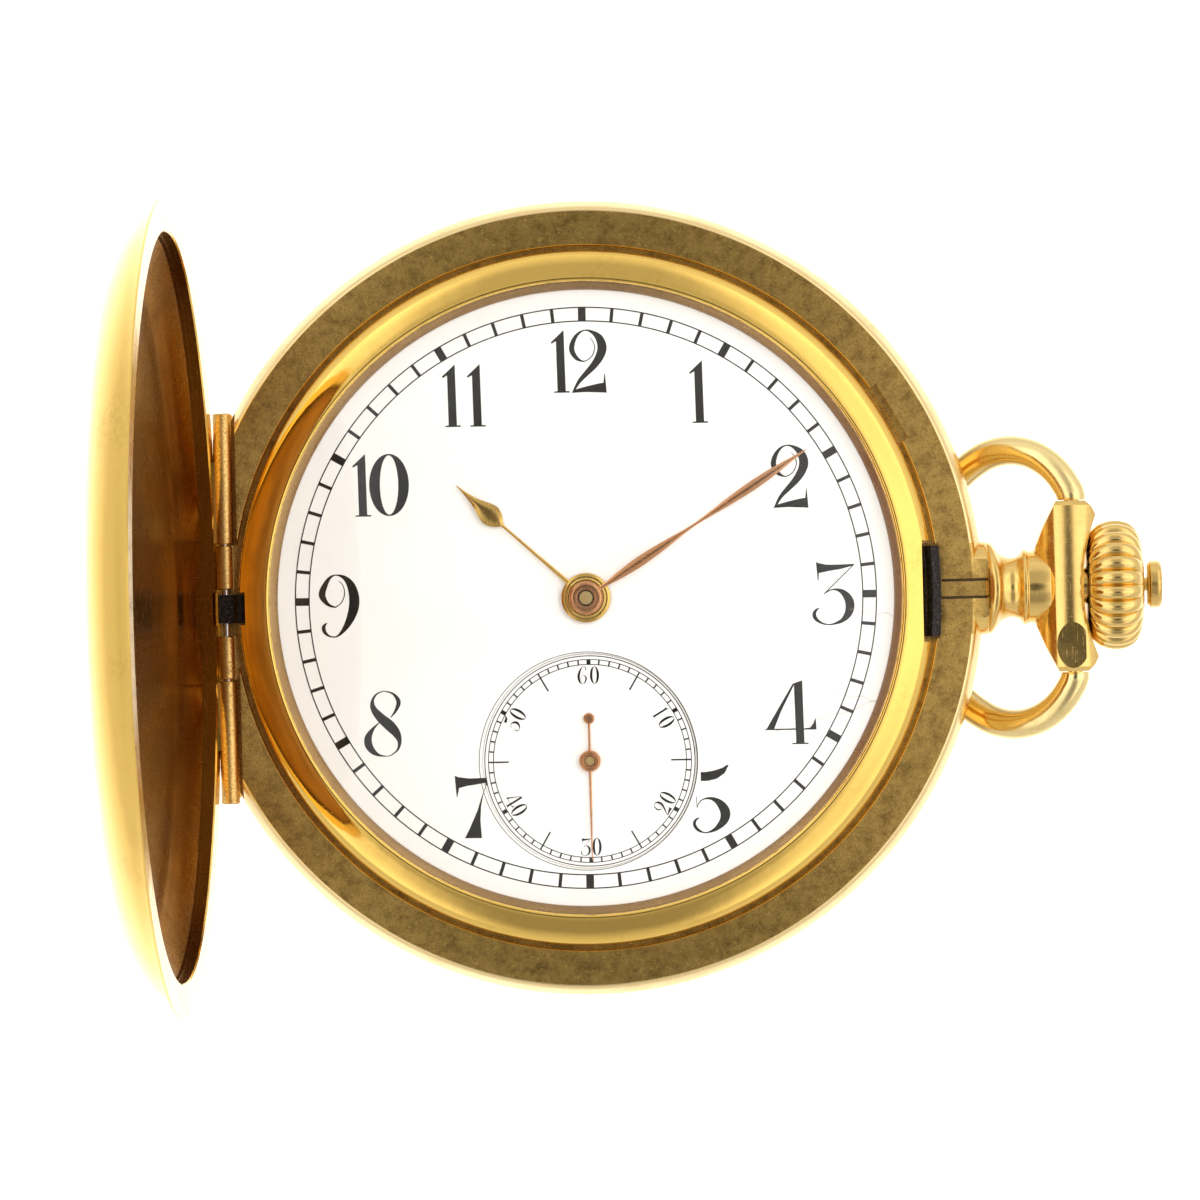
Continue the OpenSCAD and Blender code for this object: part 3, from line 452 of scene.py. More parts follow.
def solid(name, outline, low, high, material, angle=SHARP):
    """Straight prism on a closed outline."""
    n = len(outline)
    verts = [(x, y, low) for x, y in outline] + [(x, y, high) for x, y in outline]
    faces = [tuple(range(n - 1, -1, -1)), tuple(range(n, 2 * n))]
    faces += [(i, (i + 1) % n, n + (i + 1) % n, n + i) for i in range(n)]
    return new_object(name, verts, faces, material, angle)


def block(name, low, high, material="gold"):
    (x0, y0, z0), (x1, y1, z1) = low, high
    return solid(name, [(x0, y0), (x1, y0), (x1, y1), (x0, y1)], z0, z1, material)


def lofted(name, rings, material, angle=40.0):
    """Skin over rings of points, capped at both ends."""
    n = len(rings[0])
    verts = [p for ring in rings for p in ring]
    faces = []
    for a in range(0, (len(rings) - 1) * n, n):
        b = a + n
        faces += [(a + i, a + (i + 1) % n, b + (i + 1) % n, b + i) for i in range(n)]
    faces += [tuple(range(n - 1, -1, -1)), tuple(range(len(verts) - n, len(verts)))]
    return new_object(name, verts, faces, material, angle)


def placed(obj, matrix):
    obj.data.transform(matrix)
    return obj


def moved(x=0.0, y=0.0, z=0.0):
    return Matrix.Translation(Vector((x, y, z)) * MM)


def turn(degrees, axis):
    return Matrix.Rotation(radians(degrees), 4, axis)


TO_X = turn(90, "Y")  # lays something built along Z along +X


def baked(obj):
    """Turns the object's modifiers into its mesh."""
    graph = bpy.context.evaluated_depsgraph_get()
    mesh = bpy.data.meshes.new_from_object(obj.evaluated_get(graph))
    old = obj.data
    obj.modifiers.clear()
    obj.data = mesh
    bpy.data.meshes.remove(old)
    return obj


def combine(obj, tools, operation="DIFFERENCE"):
    """Cuts, joins or trims obj with other solids, which are used up."""
    for tool in tools:
        step = obj.modifiers.new("step", "BOOLEAN")
        step.operation = operation
        step.solver = "EXACT"
        step.object = tool
        baked(obj)
        bpy.data.objects.remove(tool)
    return obj


def joined(name, parts):
    """One object from several, without merging them."""
    work = bmesh.new()
    materials = []
    for part in parts:
        offset = {}
        for i, m in enumerate(part.data.materials):
            if m not in materials:
                materials.append(m)
            offset[i] = materials.index(m)
        before = len(work.faces)
        work.from_mesh(part.data)
        work.faces.ensure_lookup_table()
        for f in work.faces[before:]:
            f.material_index = offset.get(f.material_index, 0)
    mesh = bpy.data.meshes.new(name)
    work.to_mesh(mesh)
    work.free()
    for m in materials:
        mesh.materials.append(m)
    obj = shown(name, mesh)
    for part in parts:
        bpy.data.objects.remove(part)
    return obj


def chamfer(obj, width=0.05, segments=2, angle=38.0):
    step = obj.modifiers.new("edges", "BEVEL")
    step.width = width * MM
    step.segments = segments
    step.limit_method = "ANGLE"
    step.angle_limit = radians(angle)
    step.harden_normals = False
    baked(obj)
    return finish_mesh(obj, 50)


def stands_for(obj, body, slot, *nodes):
    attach(obj, body)
    if nodes:
        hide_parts(*nodes)
    return obj


def painted_where(obj, material, test):
    """Gives the faces whose centre and normal (in millimetres) pass the test another material."""
    obj.data.materials.append(MATERIALS[material])
    index = len(obj.data.materials) - 1
    for face in obj.data.polygons:
        if test(face.center / MM, face.normal):
            face.material_index = index
    return obj


# ---------- camera, light and floor ----------

PHOTO_WIDTH = 78.53  # width of the view at the case's widest circle, in mm
DISTANCE = 620.0
CASE_MID = 6.5
ROLL = -1.4
camera_data = bpy.data.cameras.new("camera")
camera_data.sensor_width = 36
camera_data.lens = 36 * DISTANCE / PHOTO_WIDTH
camera_data.clip_start, camera_data.clip_end = 0.01, 10
camera = shown("camera", camera_data)
camera.location = Vector((0.912, -0.166, CASE_MID + DISTANCE)) * MM
camera.rotation_euler = (0, 0, radians(ROLL))
bpy.context.scene.camera = camera
bpy.context.scene.view_settings.view_transform = "Standard"
bpy.context.scene.view_settings.look = "None"


def make_world():
    """A pale studio: brighter at the sides, darker right above so that flat gold reads as gold."""
    world = bpy.data.worlds.new("studio")
    bpy.context.scene.world = world
    world.use_nodes = True
    w = Nodes(world.node_tree)
    background = w.tree.nodes["Background"]
    x, y, z = w.add("SeparateXYZ", w.add("TexCoord").outputs["Generated"]).outputs
    below = w.ramp(w.times(y, -1.0), 0.05, 0.5, 0.0, 0.22)
    across = w.times(w.ramp(w.math("ABSOLUTE", y), 0.1, 0.4, 0.0, 0.27), w.ramp(z, 0.5, 0.7))
    level = w.math("SUBTRACT", w.math("SUBTRACT", w.ramp(z, 0.1, 0.6, 1.0, 0.85), below), across)
    boxes = w.times(w.ramp(w.math("ABSOLUTE", x), 0.16, 0.5), w.ramp(z, 0.3, 0.5))
    lit = w.plus(level, w.times(boxes, 0.8))
    overhead = w.ramp(z, 0.955, 0.99, 1.0, 0.12)
    w.link(w.times(lit, overhead), background.inputs["Strength"])
    background.inputs["Color"].default_value = (1.0, 0.985, 0.96, 1)


make_world()


def area_light(name, place, size, watts):
    data = bpy.data.lights.new(name, "AREA")
    data.size = size
    data.energy = watts
    obj = shown(name, data)
    obj.location = place
    obj.rotation_euler = (-Vector(place)).to_track_quat("-Z", "Y").to_euler()
    obj.visible_camera = False
    obj.visible_glossy = False


area_light("key", (0.35, 0.2, 0.85), 0.45, 2.3)
area_light("fill", (-0.12, 0.0, 0.95), 0.5, 3.3)


FLOOR_HALF = 3.0
FLOOR_GAP = 0.0001


def make_floor():
    """Pale paper that glows softly where it is seen from above, and can be seen through from below."""
    mesh = bpy.data.meshes.new("floor")
    w = FLOOR_HALF
    z = cad_low.z - FLOOR_GAP
    mesh.from_pydata([(-w, -w, z), (w, -w, z), (w, w, z), (-w, w, z)], [], [(0, 1, 2, 3)])
    obj = shown("floor", mesh)
    m = Shader("floor_paper", (0.55, 0.55, 0.55), roughness=0.9, Specular_IOR_Level=0.1,
               Emission_Color=(1, 1, 1, 1))
    facing = m.add("LayerWeight", 0.5).outputs["Facing"]
    m.set("Emission Strength", m.add("MapRange", facing, 0.1, 0.6, 0.95, 0.0).outputs[0])
    clear = m.add("BsdfTransparent").outputs[0]
    behind = m.add("NewGeometry").outputs["Backfacing"]
    both = m.add("MixShader", behind, m.bsdf.outputs[0], clear).outputs[0]
    m.link(both, m.tree.nodes["Material Output"].inputs["Surface"])
    mesh.materials.append(m.material)


make_floor()

# ---------- the case ----------

STEM_Z = centre_of("stem").z
LID_PIN = centre_of("lid_hinge_pin")
BACK_PIN = centre_of("back_hinge_pin")
HINGE_X = LID_PIN.x
SEAT_Z = 8.8
BACK_Z = 4.4
PIN_R = 0.3
KNUCKLE_R = 0.6
NEAR_PIN = 0.62  # faces nearer a pin's axis than this are the hinge's
LID_OPEN = turn(JOINTS["lid_hinge"]["range_deg"][0], "Y")
SWUNG = moved(HINGE_X, 0, LID_PIN.z) @ LID_OPEN @ moved(-HINGE_X, 0, -LID_PIN.z)
SHELL_R = 25.9
SHELL_WALL = 0.7


def barrel(name, x, z, low, high, r, material="gold_worn", edge=0.08, steps=48):
    """Round bar along Y with softened ends."""
    edge = min(edge, r / 2)
    outline = [(0, low), (r - edge, low), (r, low + edge), (r, high - edge), (r - edge, high), (0, high)]
    bar = turned(name, outline, material, steps)
    return placed(bar, moved(x, 0, z) @ turn(-90, "X"))


def knuckle(pin, low, high):
    return barrel("k", HINGE_X, pin.z, low, high, KNUCKLE_R)


def hinge_bore(pin, low, high, r=PIN_R):
    return barrel("c", HINGE_X, pin.z, low, high, r, edge=0)


def from_axis(c):
    return hypot(c.x, c.y)


def from_pin(c, pin):
    return hypot(c.x - HINGE_X, c.z - pin.z)


def make_case_ring():
    corners = [(21.6, 5), (23.7, 5), (23.7, 4.4), (25.2, 4.4)] + arc(21.4, 6.5, 4.6, -24, 28, 18)
    corners += [(25.3, 8.8), (23, 8.8), (23, 8.2), (22.25, 8.2), (22.25, 8.6), (21.6, 8.6)]
    radii = [0.1, 0.1, 0.05, 0.1] + [0.0] * 19 + [0.1, 0.1, 0.05, 0.05, 0.1, 0.1]
    ring = turned("case_ring", eased(corners, radii), "gold_worn", 320)
    combine(ring, [
        block("c", (-29.15, -14, 0), (-24.15, 14, 12)),
        block("c", (-27.15, -13.1, 7.2), (-22.65, 13.1, 12)),
        block("c", (-27.15, -13.1, 0), (-22.65, 13.1, 5.5)),
    ])
    for low, high in ((1.1, 3.95), (-4.75, -1.95)):
        combine(ring, [
            knuckle(LID_PIN, low, high),
            block("k", (HINGE_X, low, 7.1), (HINGE_X + 1.3, high, 8.2)),
            block("k", (HINGE_X, low, 7.1), (HINGE_X + 0.58, high, 8.5)),
        ], "UNION")
    for low, high in ((1.3, 3.95), (-3.95, -1.3)):
        combine(ring, [
            knuckle(BACK_PIN, low, high),
            block("k", (HINGE_X, low, 5.05), (HINGE_X + 1.3, high, 5.8)),
            block("k", (HINGE_X, low, 4.2), (HINGE_X + 0.6, high, 5.8)),
        ], "UNION")
    boss_edge = [(0, 24.2), (3.05, 24.2), (3.05, 26.35), (0, 26.35)]
    boss = turned("k", eased(boss_edge, [0, 0, 0.3, 0]), "gold_worn", 96)
    placed(boss, moved(0, 0, STEM_Z) @ TO_X)
    combine(boss, [block("k", (24, -4, BACK_Z + 0.02), (27, 4, SEAT_Z - 0.02))], "INTERSECT")
    combine(ring, [boss], "UNION")
    notch = block("c", (22.4, -2.05, 8.3), (23.42, 2.05, 9.25))
    placed(notch, turn(30, "Z"))
    bore = turned("c", [(0, 20), (1.3, 20), (1.3, 30), (0, 30)], "gold", 64)
    placed(bore, moved(0, 0, STEM_Z) @ TO_X)
    combine(ring, [
        hinge_bore(LID_PIN, -13, 13),
        hinge_bore(BACK_PIN, -13, 13),
        bore,
        block("c", (21.5, -3.2, 7.65), (23, 3, 11.65)),
        block("c", (22, -0.6, SEAT_Z - 0.35), (27, 0.6, SEAT_Z + 0.65)),
        block("c", (23.2, -0.66, SEAT_Z - 0.5), (27, -0.48, SEAT_Z + 0.1)),
        block("c", (23.2, 0.48, SEAT_Z - 0.5), (27, 0.66, SEAT_Z + 0.1)),
        notch,
        block("c", (-23.15, -1.9, 7.6), (-21.55, 1.05, 9.6)),
    ])
    for a in (75, 255):
        seat = turned("c", [(0, 4), (1.05, 4), (1.05, 5.5), (0, 5.5)], "gold", 48)
        placed(seat, turn(a, "Z") @ moved(21.05, 0, 0))
        combine(ring, [seat])
    finish_mesh(ring)

    def on_boss(c):
        return c.x > 24 and abs(c.y) < 3.1

    painted_where(ring, "rim", lambda c, n: c.z > 7.1 and n.z > 0.9
                  and 21.5 < from_axis(c) < (30 if on_boss(c) else 25.32))
    # The band's upper outer edge and bevel take the paler gold: painted highlight.
    painted_where(ring, "bright", lambda c, n: c.z > 8.05 and from_axis(c) > 25.25 and n.z <= 0.99
                  and not on_boss(c))
    # The grooves beside the push-rod channel are painted dark brown: painted shade, so that the channel
    # shows.
    painted_where(ring, "groove_shade", lambda c, n: c.x > 23.1 and abs(c.y) < 0.67 and 8.2 < c.z < 8.42)
    painted_where(ring, "hinge", lambda c, n: min(from_pin(c, LID_PIN), from_pin(c, BACK_PIN)) < NEAR_PIN)
    stands_for(ring, "case", "case_gold", "case_band")


def make_bezel():
    corners = [
        (20.75, 9.72), (20.58, 10.2), (20.72, 10.42), (21.1, 10.36), (21.75, 10.14), (22.3, 9.86),
        (22.65, 9.45), (22.65, 8.3), (22.3, 8.25), (22.3, 8.65), (21.6, 8.65), (20.1, 8.5), (20.1, 8.75),
        (20.6, 9.1), (21.35, 9.1), (21.35, 9.72),
    ]
    radii = [0.05, 0.12, 0.12, 0.4, 0.5, 0.4, 0.2, 0.1, 0.05, 0.05, 0.05, 0.04, 0.06, 0.08, 0.03, 0.03]
    ring = turned("bezel_ring", eased(corners, radii), "gold_fine", 320)
    combine(ring, [
        block("c", (21.64, -3.4, 8), (23.6, 3.2, 9.55)),
        block("c", (21.93, -3.4, 9.45), (23.6, 3.2, 12)),
        block("c", (-24, -1.25, 8), (-22.2, 0.9, 12)),
        block("c", (-24, -1.25, 8), (-21.55, 0.9, 9.55)),
    ])
    finish_mesh(ring)
    # The bezel's inner lip under the glass takes the darker brown gold: painted shade.
    painted_where(ring, "lip", lambda c, n: from_axis(c) < 20.9 and c.z < 9.3)
    stands_for(ring, "case", "case_gold", "bezel")


def make_glass():
    ball = 122.0  # radius of its curve
    rim, seat = 20.5, 21.25
    count = 28

    def curve(peak, reach):
        radii = [reach * (i / count) for i in range(count + 1)]
        return [(r, peak - ball + sqrt(ball * ball - r * r)) for r in radii]

    outline = curve(10.95, seat) + [(seat, 9.7), (rim, 9.7)] + curve(11.6, rim)[::-1]
    glass = turned("watch_glass_dome", outline, "glass", 160)
    stands_for(glass, "case", "crystal", "crystal")


def dome(rim, depth, cap, r, n=14):
    """Outline of a dome from its middle to its rim, at z = 0."""
    m = Vector((0, depth - cap))
    reach = cap - r
    line = Vector((rim, 0)) - m
    d = line.length
    a = (reach * reach - r * r + d * d) / (2 * d)
    u = line / d
    s = m + a * u + sqrt(reach * reach - a * a) * Vector((-u.y, u.x))
    first = math.degrees(atan2(s.y - m.y, s.x - m.x))
    last = math.degrees(atan2(-s.y, rim - s.x))
    return arc(m.x, m.y, cap, 90, first, n) + arc(s.x, s.y, r, first, last, n)[1:]


def make_shell(name, depth, lip_r, flat=0.0, steps_inside=()):
    """Shell of a lid or cover that closes at z = 0, with a flat wall along its hinge chord."""
    rim, wall, lip_h = SHELL_R, SHELL_WALL, 0.7

    def skin(reach, peak, shoulder):
        top = [(0, peak - flat)] if flat else []
        return top + [p for p in dome(reach, peak, 130, shoulder) if p[1] <= peak - flat + 1e-6]

    outer = skin(rim, depth, 8)
    inner = skin(lip_r + 1, depth - wall, 8 - wall)
    inside = [(r, z - 0.05 * sum(r > s for s in steps_inside)) for r, z in inner]
    inside = [p for p in inside if p[1] > lip_h + 0.02]
    lip = [(inside[-1][0], lip_h), (lip_r, lip_h), (lip_r, 0.1), (lip_r + 0.1, 0)]
    lip += [(rim - 0.12, 0), (rim, 0.1)]
    body = turned(name, inside + lip + outer[:-1][::-1], "gold", 320)
    combine(body, [block("c", (-40, -40, -2), (-24.1, 40, 20))])
    inset = [(0, 0), (rim - 0.3, 0), (rim - 0.18, 0.1)]
    inset += [(r - 0.15, z - 0.02) for r, z in outer[::-1] if z > 0.3 and r > 8]
    wall_block = turned("c", inset, "gold", 320)
    combine(wall_block, [block("c", (-24.09, -40, 0.04), (-23.1, 40, 20))], "INTERSECT")
    return combine(body, [wall_block], "UNION")


def make_lid():
    lid = make_shell("lid_shell", 4.9, 23.6, steps_inside=(13.0, 18.5, 21.5))
    placed(lid, moved(0, 0, SEAT_Z + 0.02))
    combine(lid, [
        hinge_bore(LID_PIN, -13.2, -12.98, 0.75),
        hinge_bore(LID_PIN, 12.68, 13.2, 0.75),
        hinge_bore(LID_PIN, -4.85, 4.05, 0.65),
        hinge_bore(LID_PIN, -1.25, 0.9, 0.9),
    ])
    for low, high in ((4.05, 12.6), (-12.9, -4.85)):
        near, far = sorted((4.15, 9.4) if low > 0 else (-4.95, -9.4))
        combine(lid, [
            knuckle(LID_PIN, low, high),
            block("k", (HINGE_X - 0.59, near, LID_PIN.z), (HINGE_X + 0.39, far, LID_PIN.z + 0.9)),
        ], "UNION")
    combine(lid, [hinge_bore(LID_PIN, -14, 14)])
    finish_mesh(lid)

    def inner(c, n):
        faces_in = n.x * c.x + n.y * c.y < 0.05 or n.z < -0.5
        return n.z < 0.2 and c.z > SEAT_Z + 0.1 and from_axis(c) < 24.8 and faces_in

    # The lid's inside takes the dark amber that carries painted shade of the hollow.
    painted_where(lid, "inside", inner)
    painted_where(lid, "hinge", lambda c, n: from_pin(c, LID_PIN) < NEAR_PIN)
    placed(lid, SWUNG)
    stands_for(lid, "lid", "case_gold", "front_lid")


def make_back():
    sagitta = 12 ** 2 / (2 * 130)  # the dome is cut off flat over a radius of 12
    depth = 4.38 + sagitta
    back = make_shell("back_shell", depth, 23.8, flat=sagitta)
    placed(back, moved(0, 0, 4.38) @ Matrix.Diagonal((1, 1, -1, 1)))
    back.data.flip_normals()
    thumb_notch = block("c", (25.6, -6, 4.05), (27.6, -2, 4.55))
    combine(back, [thumb_notch, hinge_bore(BACK_PIN, -4.05, 4.05, 0.8)])
    for low, high in ((4.05, 12.6), (-12.6, -4.05)):
        combine(back, [knuckle(BACK_PIN, low, high)], "UNION")
    combine(back, [hinge_bore(BACK_PIN, -14, 14)])
    finish_mesh(back)

    # The back's inside takes the dark amber that carries painted shade of the hollow.
    painted_where(back, "inside", lambda c, n: n.z > 0.2 and c.z > 0.5 and from_axis(c) < 23.75)
    stands_for(back, "back", "case_gold", "back_cover")


def make_dust_cover():
    corners = [
        (0, 1.3), (14, 1.4), (21, 2.05), (21.7, 4.45), (23.45, 4.45), (23.45, 4.95), (21.3, 4.95),
        (20.65, 2.5), (13.9, 1.85), (0, 1.75),
    ]
    radii = [0, 2.0, 0.5, 0.2, 0.1, 0.1, 0.2, 0.4, 2.0, 0]
    pan = turned("inner_cover_pan", eased(corners, radii, 6), "gold_fine", 256)
    combine(pan, [block("c", (-30, -30, 0), (-22.75, 30, 8))])
    combine(pan, [
        knuckle(BACK_PIN, -1.2, 1.2),
        block("k", (HINGE_X, -1.2, 4.1), (HINGE_X + 1.8, 1.2, 4.6)),
        block("k", (-22.7, -1.2, 4.1), (-21.7, 1.2, 4.95)),
    ], "UNION")
    combine(pan, [hinge_bore(BACK_PIN, -14, 14)])
    finish_mesh(pan)
    stands_for(pan, "cuvette", "case_gold", "dust_cover")


def make_springs():
    catch = [
        (21.98, 7.78), (22.85, 7.78), (22.85, 9.3), (23.18, 9.5), (22.6, 9.86), (22.25, 9.36), (21.98, 9.3),
    ]
    outline = eased(catch, 0.07, 3)
    rings = []
    for k in range(15):
        y = -3.05 + 5.9 * k / 14
        sag = sqrt(23 ** 2 - y * y) - 23
        wave = 0.012 * sin(k * 2.3)
        rings.append([(x + 0.6 * sag * (z > 7.9) + wave, y, z + wave) for x, z in outline])
    stands_for(lofted("lock_catch", rings, "black_steel"), "lock", "black_steel", "lock_spring")
    blade = [
        (-21.65, 7.72), (-21.65, 8.4), (-21.9, 8.88), (-22.7, 8.98), (-22.95, 8.8), (-24, 8.72), (-24, 8.59),
        (-23.1, 8.61), (-22.75, 8.45), (-22.55, 7.72),
    ]
    outline = eased(blade, 0.1, 4)
    rings = []
    for k, y in enumerate((-1.1, -1.02, -0.7, -0.2, 0.3, 0.65, 0.75)):
        thin = 0.05 if k in (0, 6) else 0.0
        rings.append([(x + thin * (x < -23.9), y, z) for x, z in outline])
    stands_for(lofted("lift_spring_blade", rings, "black_steel"), "case", "black_steel", "lift_spring")


make_case_ring()
make_bezel()
make_glass()
make_lid()
make_back()
make_dust_cover()
make_springs()

# ---------- pendant, crown and bow ----------

BOW_X = 31.9
CROWN_FLUTES = 24


def along_stem(obj):
    return placed(obj, moved(0, 0, STEM_Z) @ TO_X)


def make_pendant():
    profile = [
        (1.3, 25.95), (2.75, 25.95), (3.0, 26.15), (3.0, 26.42), (2.85, 26.62), (2.4, 26.95), (2.08, 27.3),
        (1.94, 27.7), (1.94, 28.0), (2.06, 28.3), (2.3, 28.5), (2.47, 28.6), (2.47, 28.8), (2.36, 28.9),
        (2.36, 29.6), (2.3, 30.4), (1.3, 30.4),
    ]
    radii = [0.0, 0.1, 0.1, 0.1, 0.1, 0.2, 0.2, 0.2, 0.2, 0.15, 0.08, 0.06, 0.06, 0.05, 0.3, 0.1, 0.0]
    outline = eased(profile, radii)

    def flare(t, r, z):
        return 0.55 * cos(t) ** 2 * max(0.0, min(1.0, (r - 2.2) / 0.8)) * (z < 27.2)

    columns = [[(r * cos(t), r * sin(t), z + flare(t, r, z)) for r, z in outline] for t in round_turn(144)]
    neck = along_stem(wrapped("pendant_neck", columns, "gold_worn"))
    edge = [(29.3, 0), (29.32, 2.3), (29.95, 3.9), (30.8, 5.58), (32.7, 5.58), (33.1, 5.2), (33.4, 4.65)]
    edge += [(33.12, 3.9), (32.85, 3.0), (32.62, 2.0), (32.5, 1.0), (32.48, 0)]
    outline = edge + [(x, -y) for x, y in edge[-2:0:-1]]
    head = solid("h", outline, 2, 10, "gold_worn", 25)
    combine(head, [barrel("c", 31.6, STEM_Z, -5.57, 5.57, 2.34, edge=0.3, steps=96)], "INTERSECT")
    chamfer(head, 0.12, 3, 30)
    bore = along_stem(turned("c", [(0, 26), (1.3, 26), (1.3, 35), (0, 35)], "gold", 48))
    oval = [(31.7 + 1.05 * cos(t), 1.5 * sin(t) - 3.85) for t in round_turn(48)]
    facet = solid("c", oval, STEM_Z + 2.12, STEM_Z + 4, "crown")
    combine(head, [bore, facet])
    finish_mesh(head, 40)
    piece = joined("pendant_neck_and_head", [neck, head])
    stands_for(piece, "case", "case_gold", "pendant")


def make_crown():
    profile = [
        (0.78, 31.4), (1.2, 31.4), (1.2, 32.72), (2.3, 32.74), (3.0, 32.85), (3.55, 33.1), (3.95, 33.55),
        (4.17, 34.05), (4.25, 34.6), (4.2, 35.1), (4.02, 35.6), (3.7, 35.98), (3.2, 36.25), (2.5, 36.42),
        (1.9, 36.45), (1.62, 36.35), (1.6, 36.05), (0.5, 36.05), (0.5, 34.7), (0.78, 34.7),
    ]
    deep = [0, 0, 0, 0.12, 0.24, 0.32, 0.36, 0.38, 0.38, 0.37, 0.35, 0.32, 0.26, 0.12, 0, 0, 0, 0, 0, 0]
    outline, cuts = [], []
    for i, (r, z) in enumerate(profile):
        outline.append((r, z))
        cuts.append(deep[i])
        if 3 <= i <= 12:
            nr, nz = profile[i + 1]
            outline.append(((r + nr) / 2 + 0.02, (z + nz) / 2))
            cuts.append((deep[i] + deep[i + 1]) / 2)
    columns = []
    for t in round_turn(CROWN_FLUTES * 16):
        dip = 1 - abs(sin(CROWN_FLUTES * t / 2)) ** 0.62
        reach = [r - cut * dip for (r, z), cut in zip(outline, cuts)]
        columns.append([(r * cos(t), r * sin(t), z) for r, (_, z) in zip(reach, outline)])
    crown = along_stem(wrapped("crown_onion", columns, "crown", 50))
    stands_for(crown, "crown_stem", "case_gold", "crown")
    push = [
        (0, 28), (0.42, 28), (0.45, 28.05), (0.45, 36.72), (1.36, 36.72), (1.4, 36.85), (1.55, 36.9),
        (1.56, 37.45), (1.4, 37.66), (0, 37.7),
    ]
    radii = [0, 0, 0, 0.02, 0.05, 0.06, 0.08, 0.15, 0.25, 0]
    button = turned("crown_push", eased(push, radii), "gold_worn", 96)
    stands_for(along_stem(button), "button", "case_gold", "push_button")


def make_bow():
    far, side, side_r = Vector((2.73, 0)), Vector((4.7, 3.9)), 5.1
    gap = side - far
    far_r, far_turn = side_r + gap.length, math.degrees(atan2(gap.y, gap.x))
    first = 148
    half = [(side.x + side_r * cos(radians(t)), side.y + side_r * sin(radians(t)))
            for t in [first - (first - far_turn) * k / 40 for k in range(41)]]
    half = [(0.0, 5.63), (0.0, 5.8), (0.06, 6.05), (0.18, 6.32)] + half
    front = [(far.x + far_r * cos(radians(t)), far.y + far_r * sin(radians(t)))
             for t in [far_turn * (1 - k / 20) for k in range(1, 40)]]
    path = [Vector(p) for p in half + front + [(x, -y) for x, y in half[::-1]]]
    rings = []
    for i, p in enumerate(path):
        a, b = path[max(0, i - 1)], path[min(len(path) - 1, i + 1)]
        along = (b - a).normalized()
        across = Vector((along.y, -along.x))
        u = abs(2 * i / (len(path) - 1) - 1)
        r = (1.0 - 0.04 * u) * (0.95 if i in (0, len(path) - 1) else 1.0)
        rings.append([(p.x + across.x * r * cos(t), p.y + across.y * r * cos(t), r * sin(t))
                      for t in round_turn(40)])
    wire = lofted("w", rings, "bow", angle=50)
    piece = joined("bow_ring", [wire])
    fold = 180 - 34
    placed(piece, moved(BOW_X, 0, STEM_Z) @ turn(fold, "Y"))
    stands_for(piece, "bow", "case_gold", "bow")


make_pendant()
make_crown()
make_bow()

# ---------- dial ----------

DIAL_Z = top_of("dial")
SMALL_Z = top_of("seconds_dial")
SMALL_Y = centre_of("seconds_dial").y
DIAL_TURN = -0.55
PROUD = 0.015  # height of the print
TRACK = (18.06, 18.95)
SMALL_TRACK = (6.3, 6.62)


def polar(r, degrees):
    t = radians(degrees)
    return r * cos(t), r * sin(t)


def make_dials():
    plate = [(1.0, DIAL_Z - 0.7), (20.7, DIAL_Z - 0.7), (20.7, DIAL_Z - 0.12), (20.5, DIAL_Z), (1.0, DIAL_Z)]
    dial = turned("enamel_dial", eased(plate, [0, 0.05, 0.2, 0.3, 0.08]), "enamel", 256)
    hole = [(0, 7), (7.0, 7), (7.0, DIAL_Z - 0.09), (7.09, DIAL_Z + 0.02), (7.2, 9.2), (0, 9.2)]
    combine(dial, [placed(turned("c", hole, "enamel", 192), moved(0, SMALL_Y, 0))])
    finish_mesh(dial, 40)
    stands_for(dial, "case", "enamel", "dial")
    plate = [(0.4, SMALL_Z - 0.42), (6.98, SMALL_Z - 0.42), (6.98, SMALL_Z), (0.4, SMALL_Z)]
    small = turned("enamel_seconds_dial", eased(plate, [0, 0, 0.04, 0.05]), "enamel", 192)
    stands_for(placed(small, moved(0, SMALL_Y, 0)), "case", "enamel", "seconds_dial")


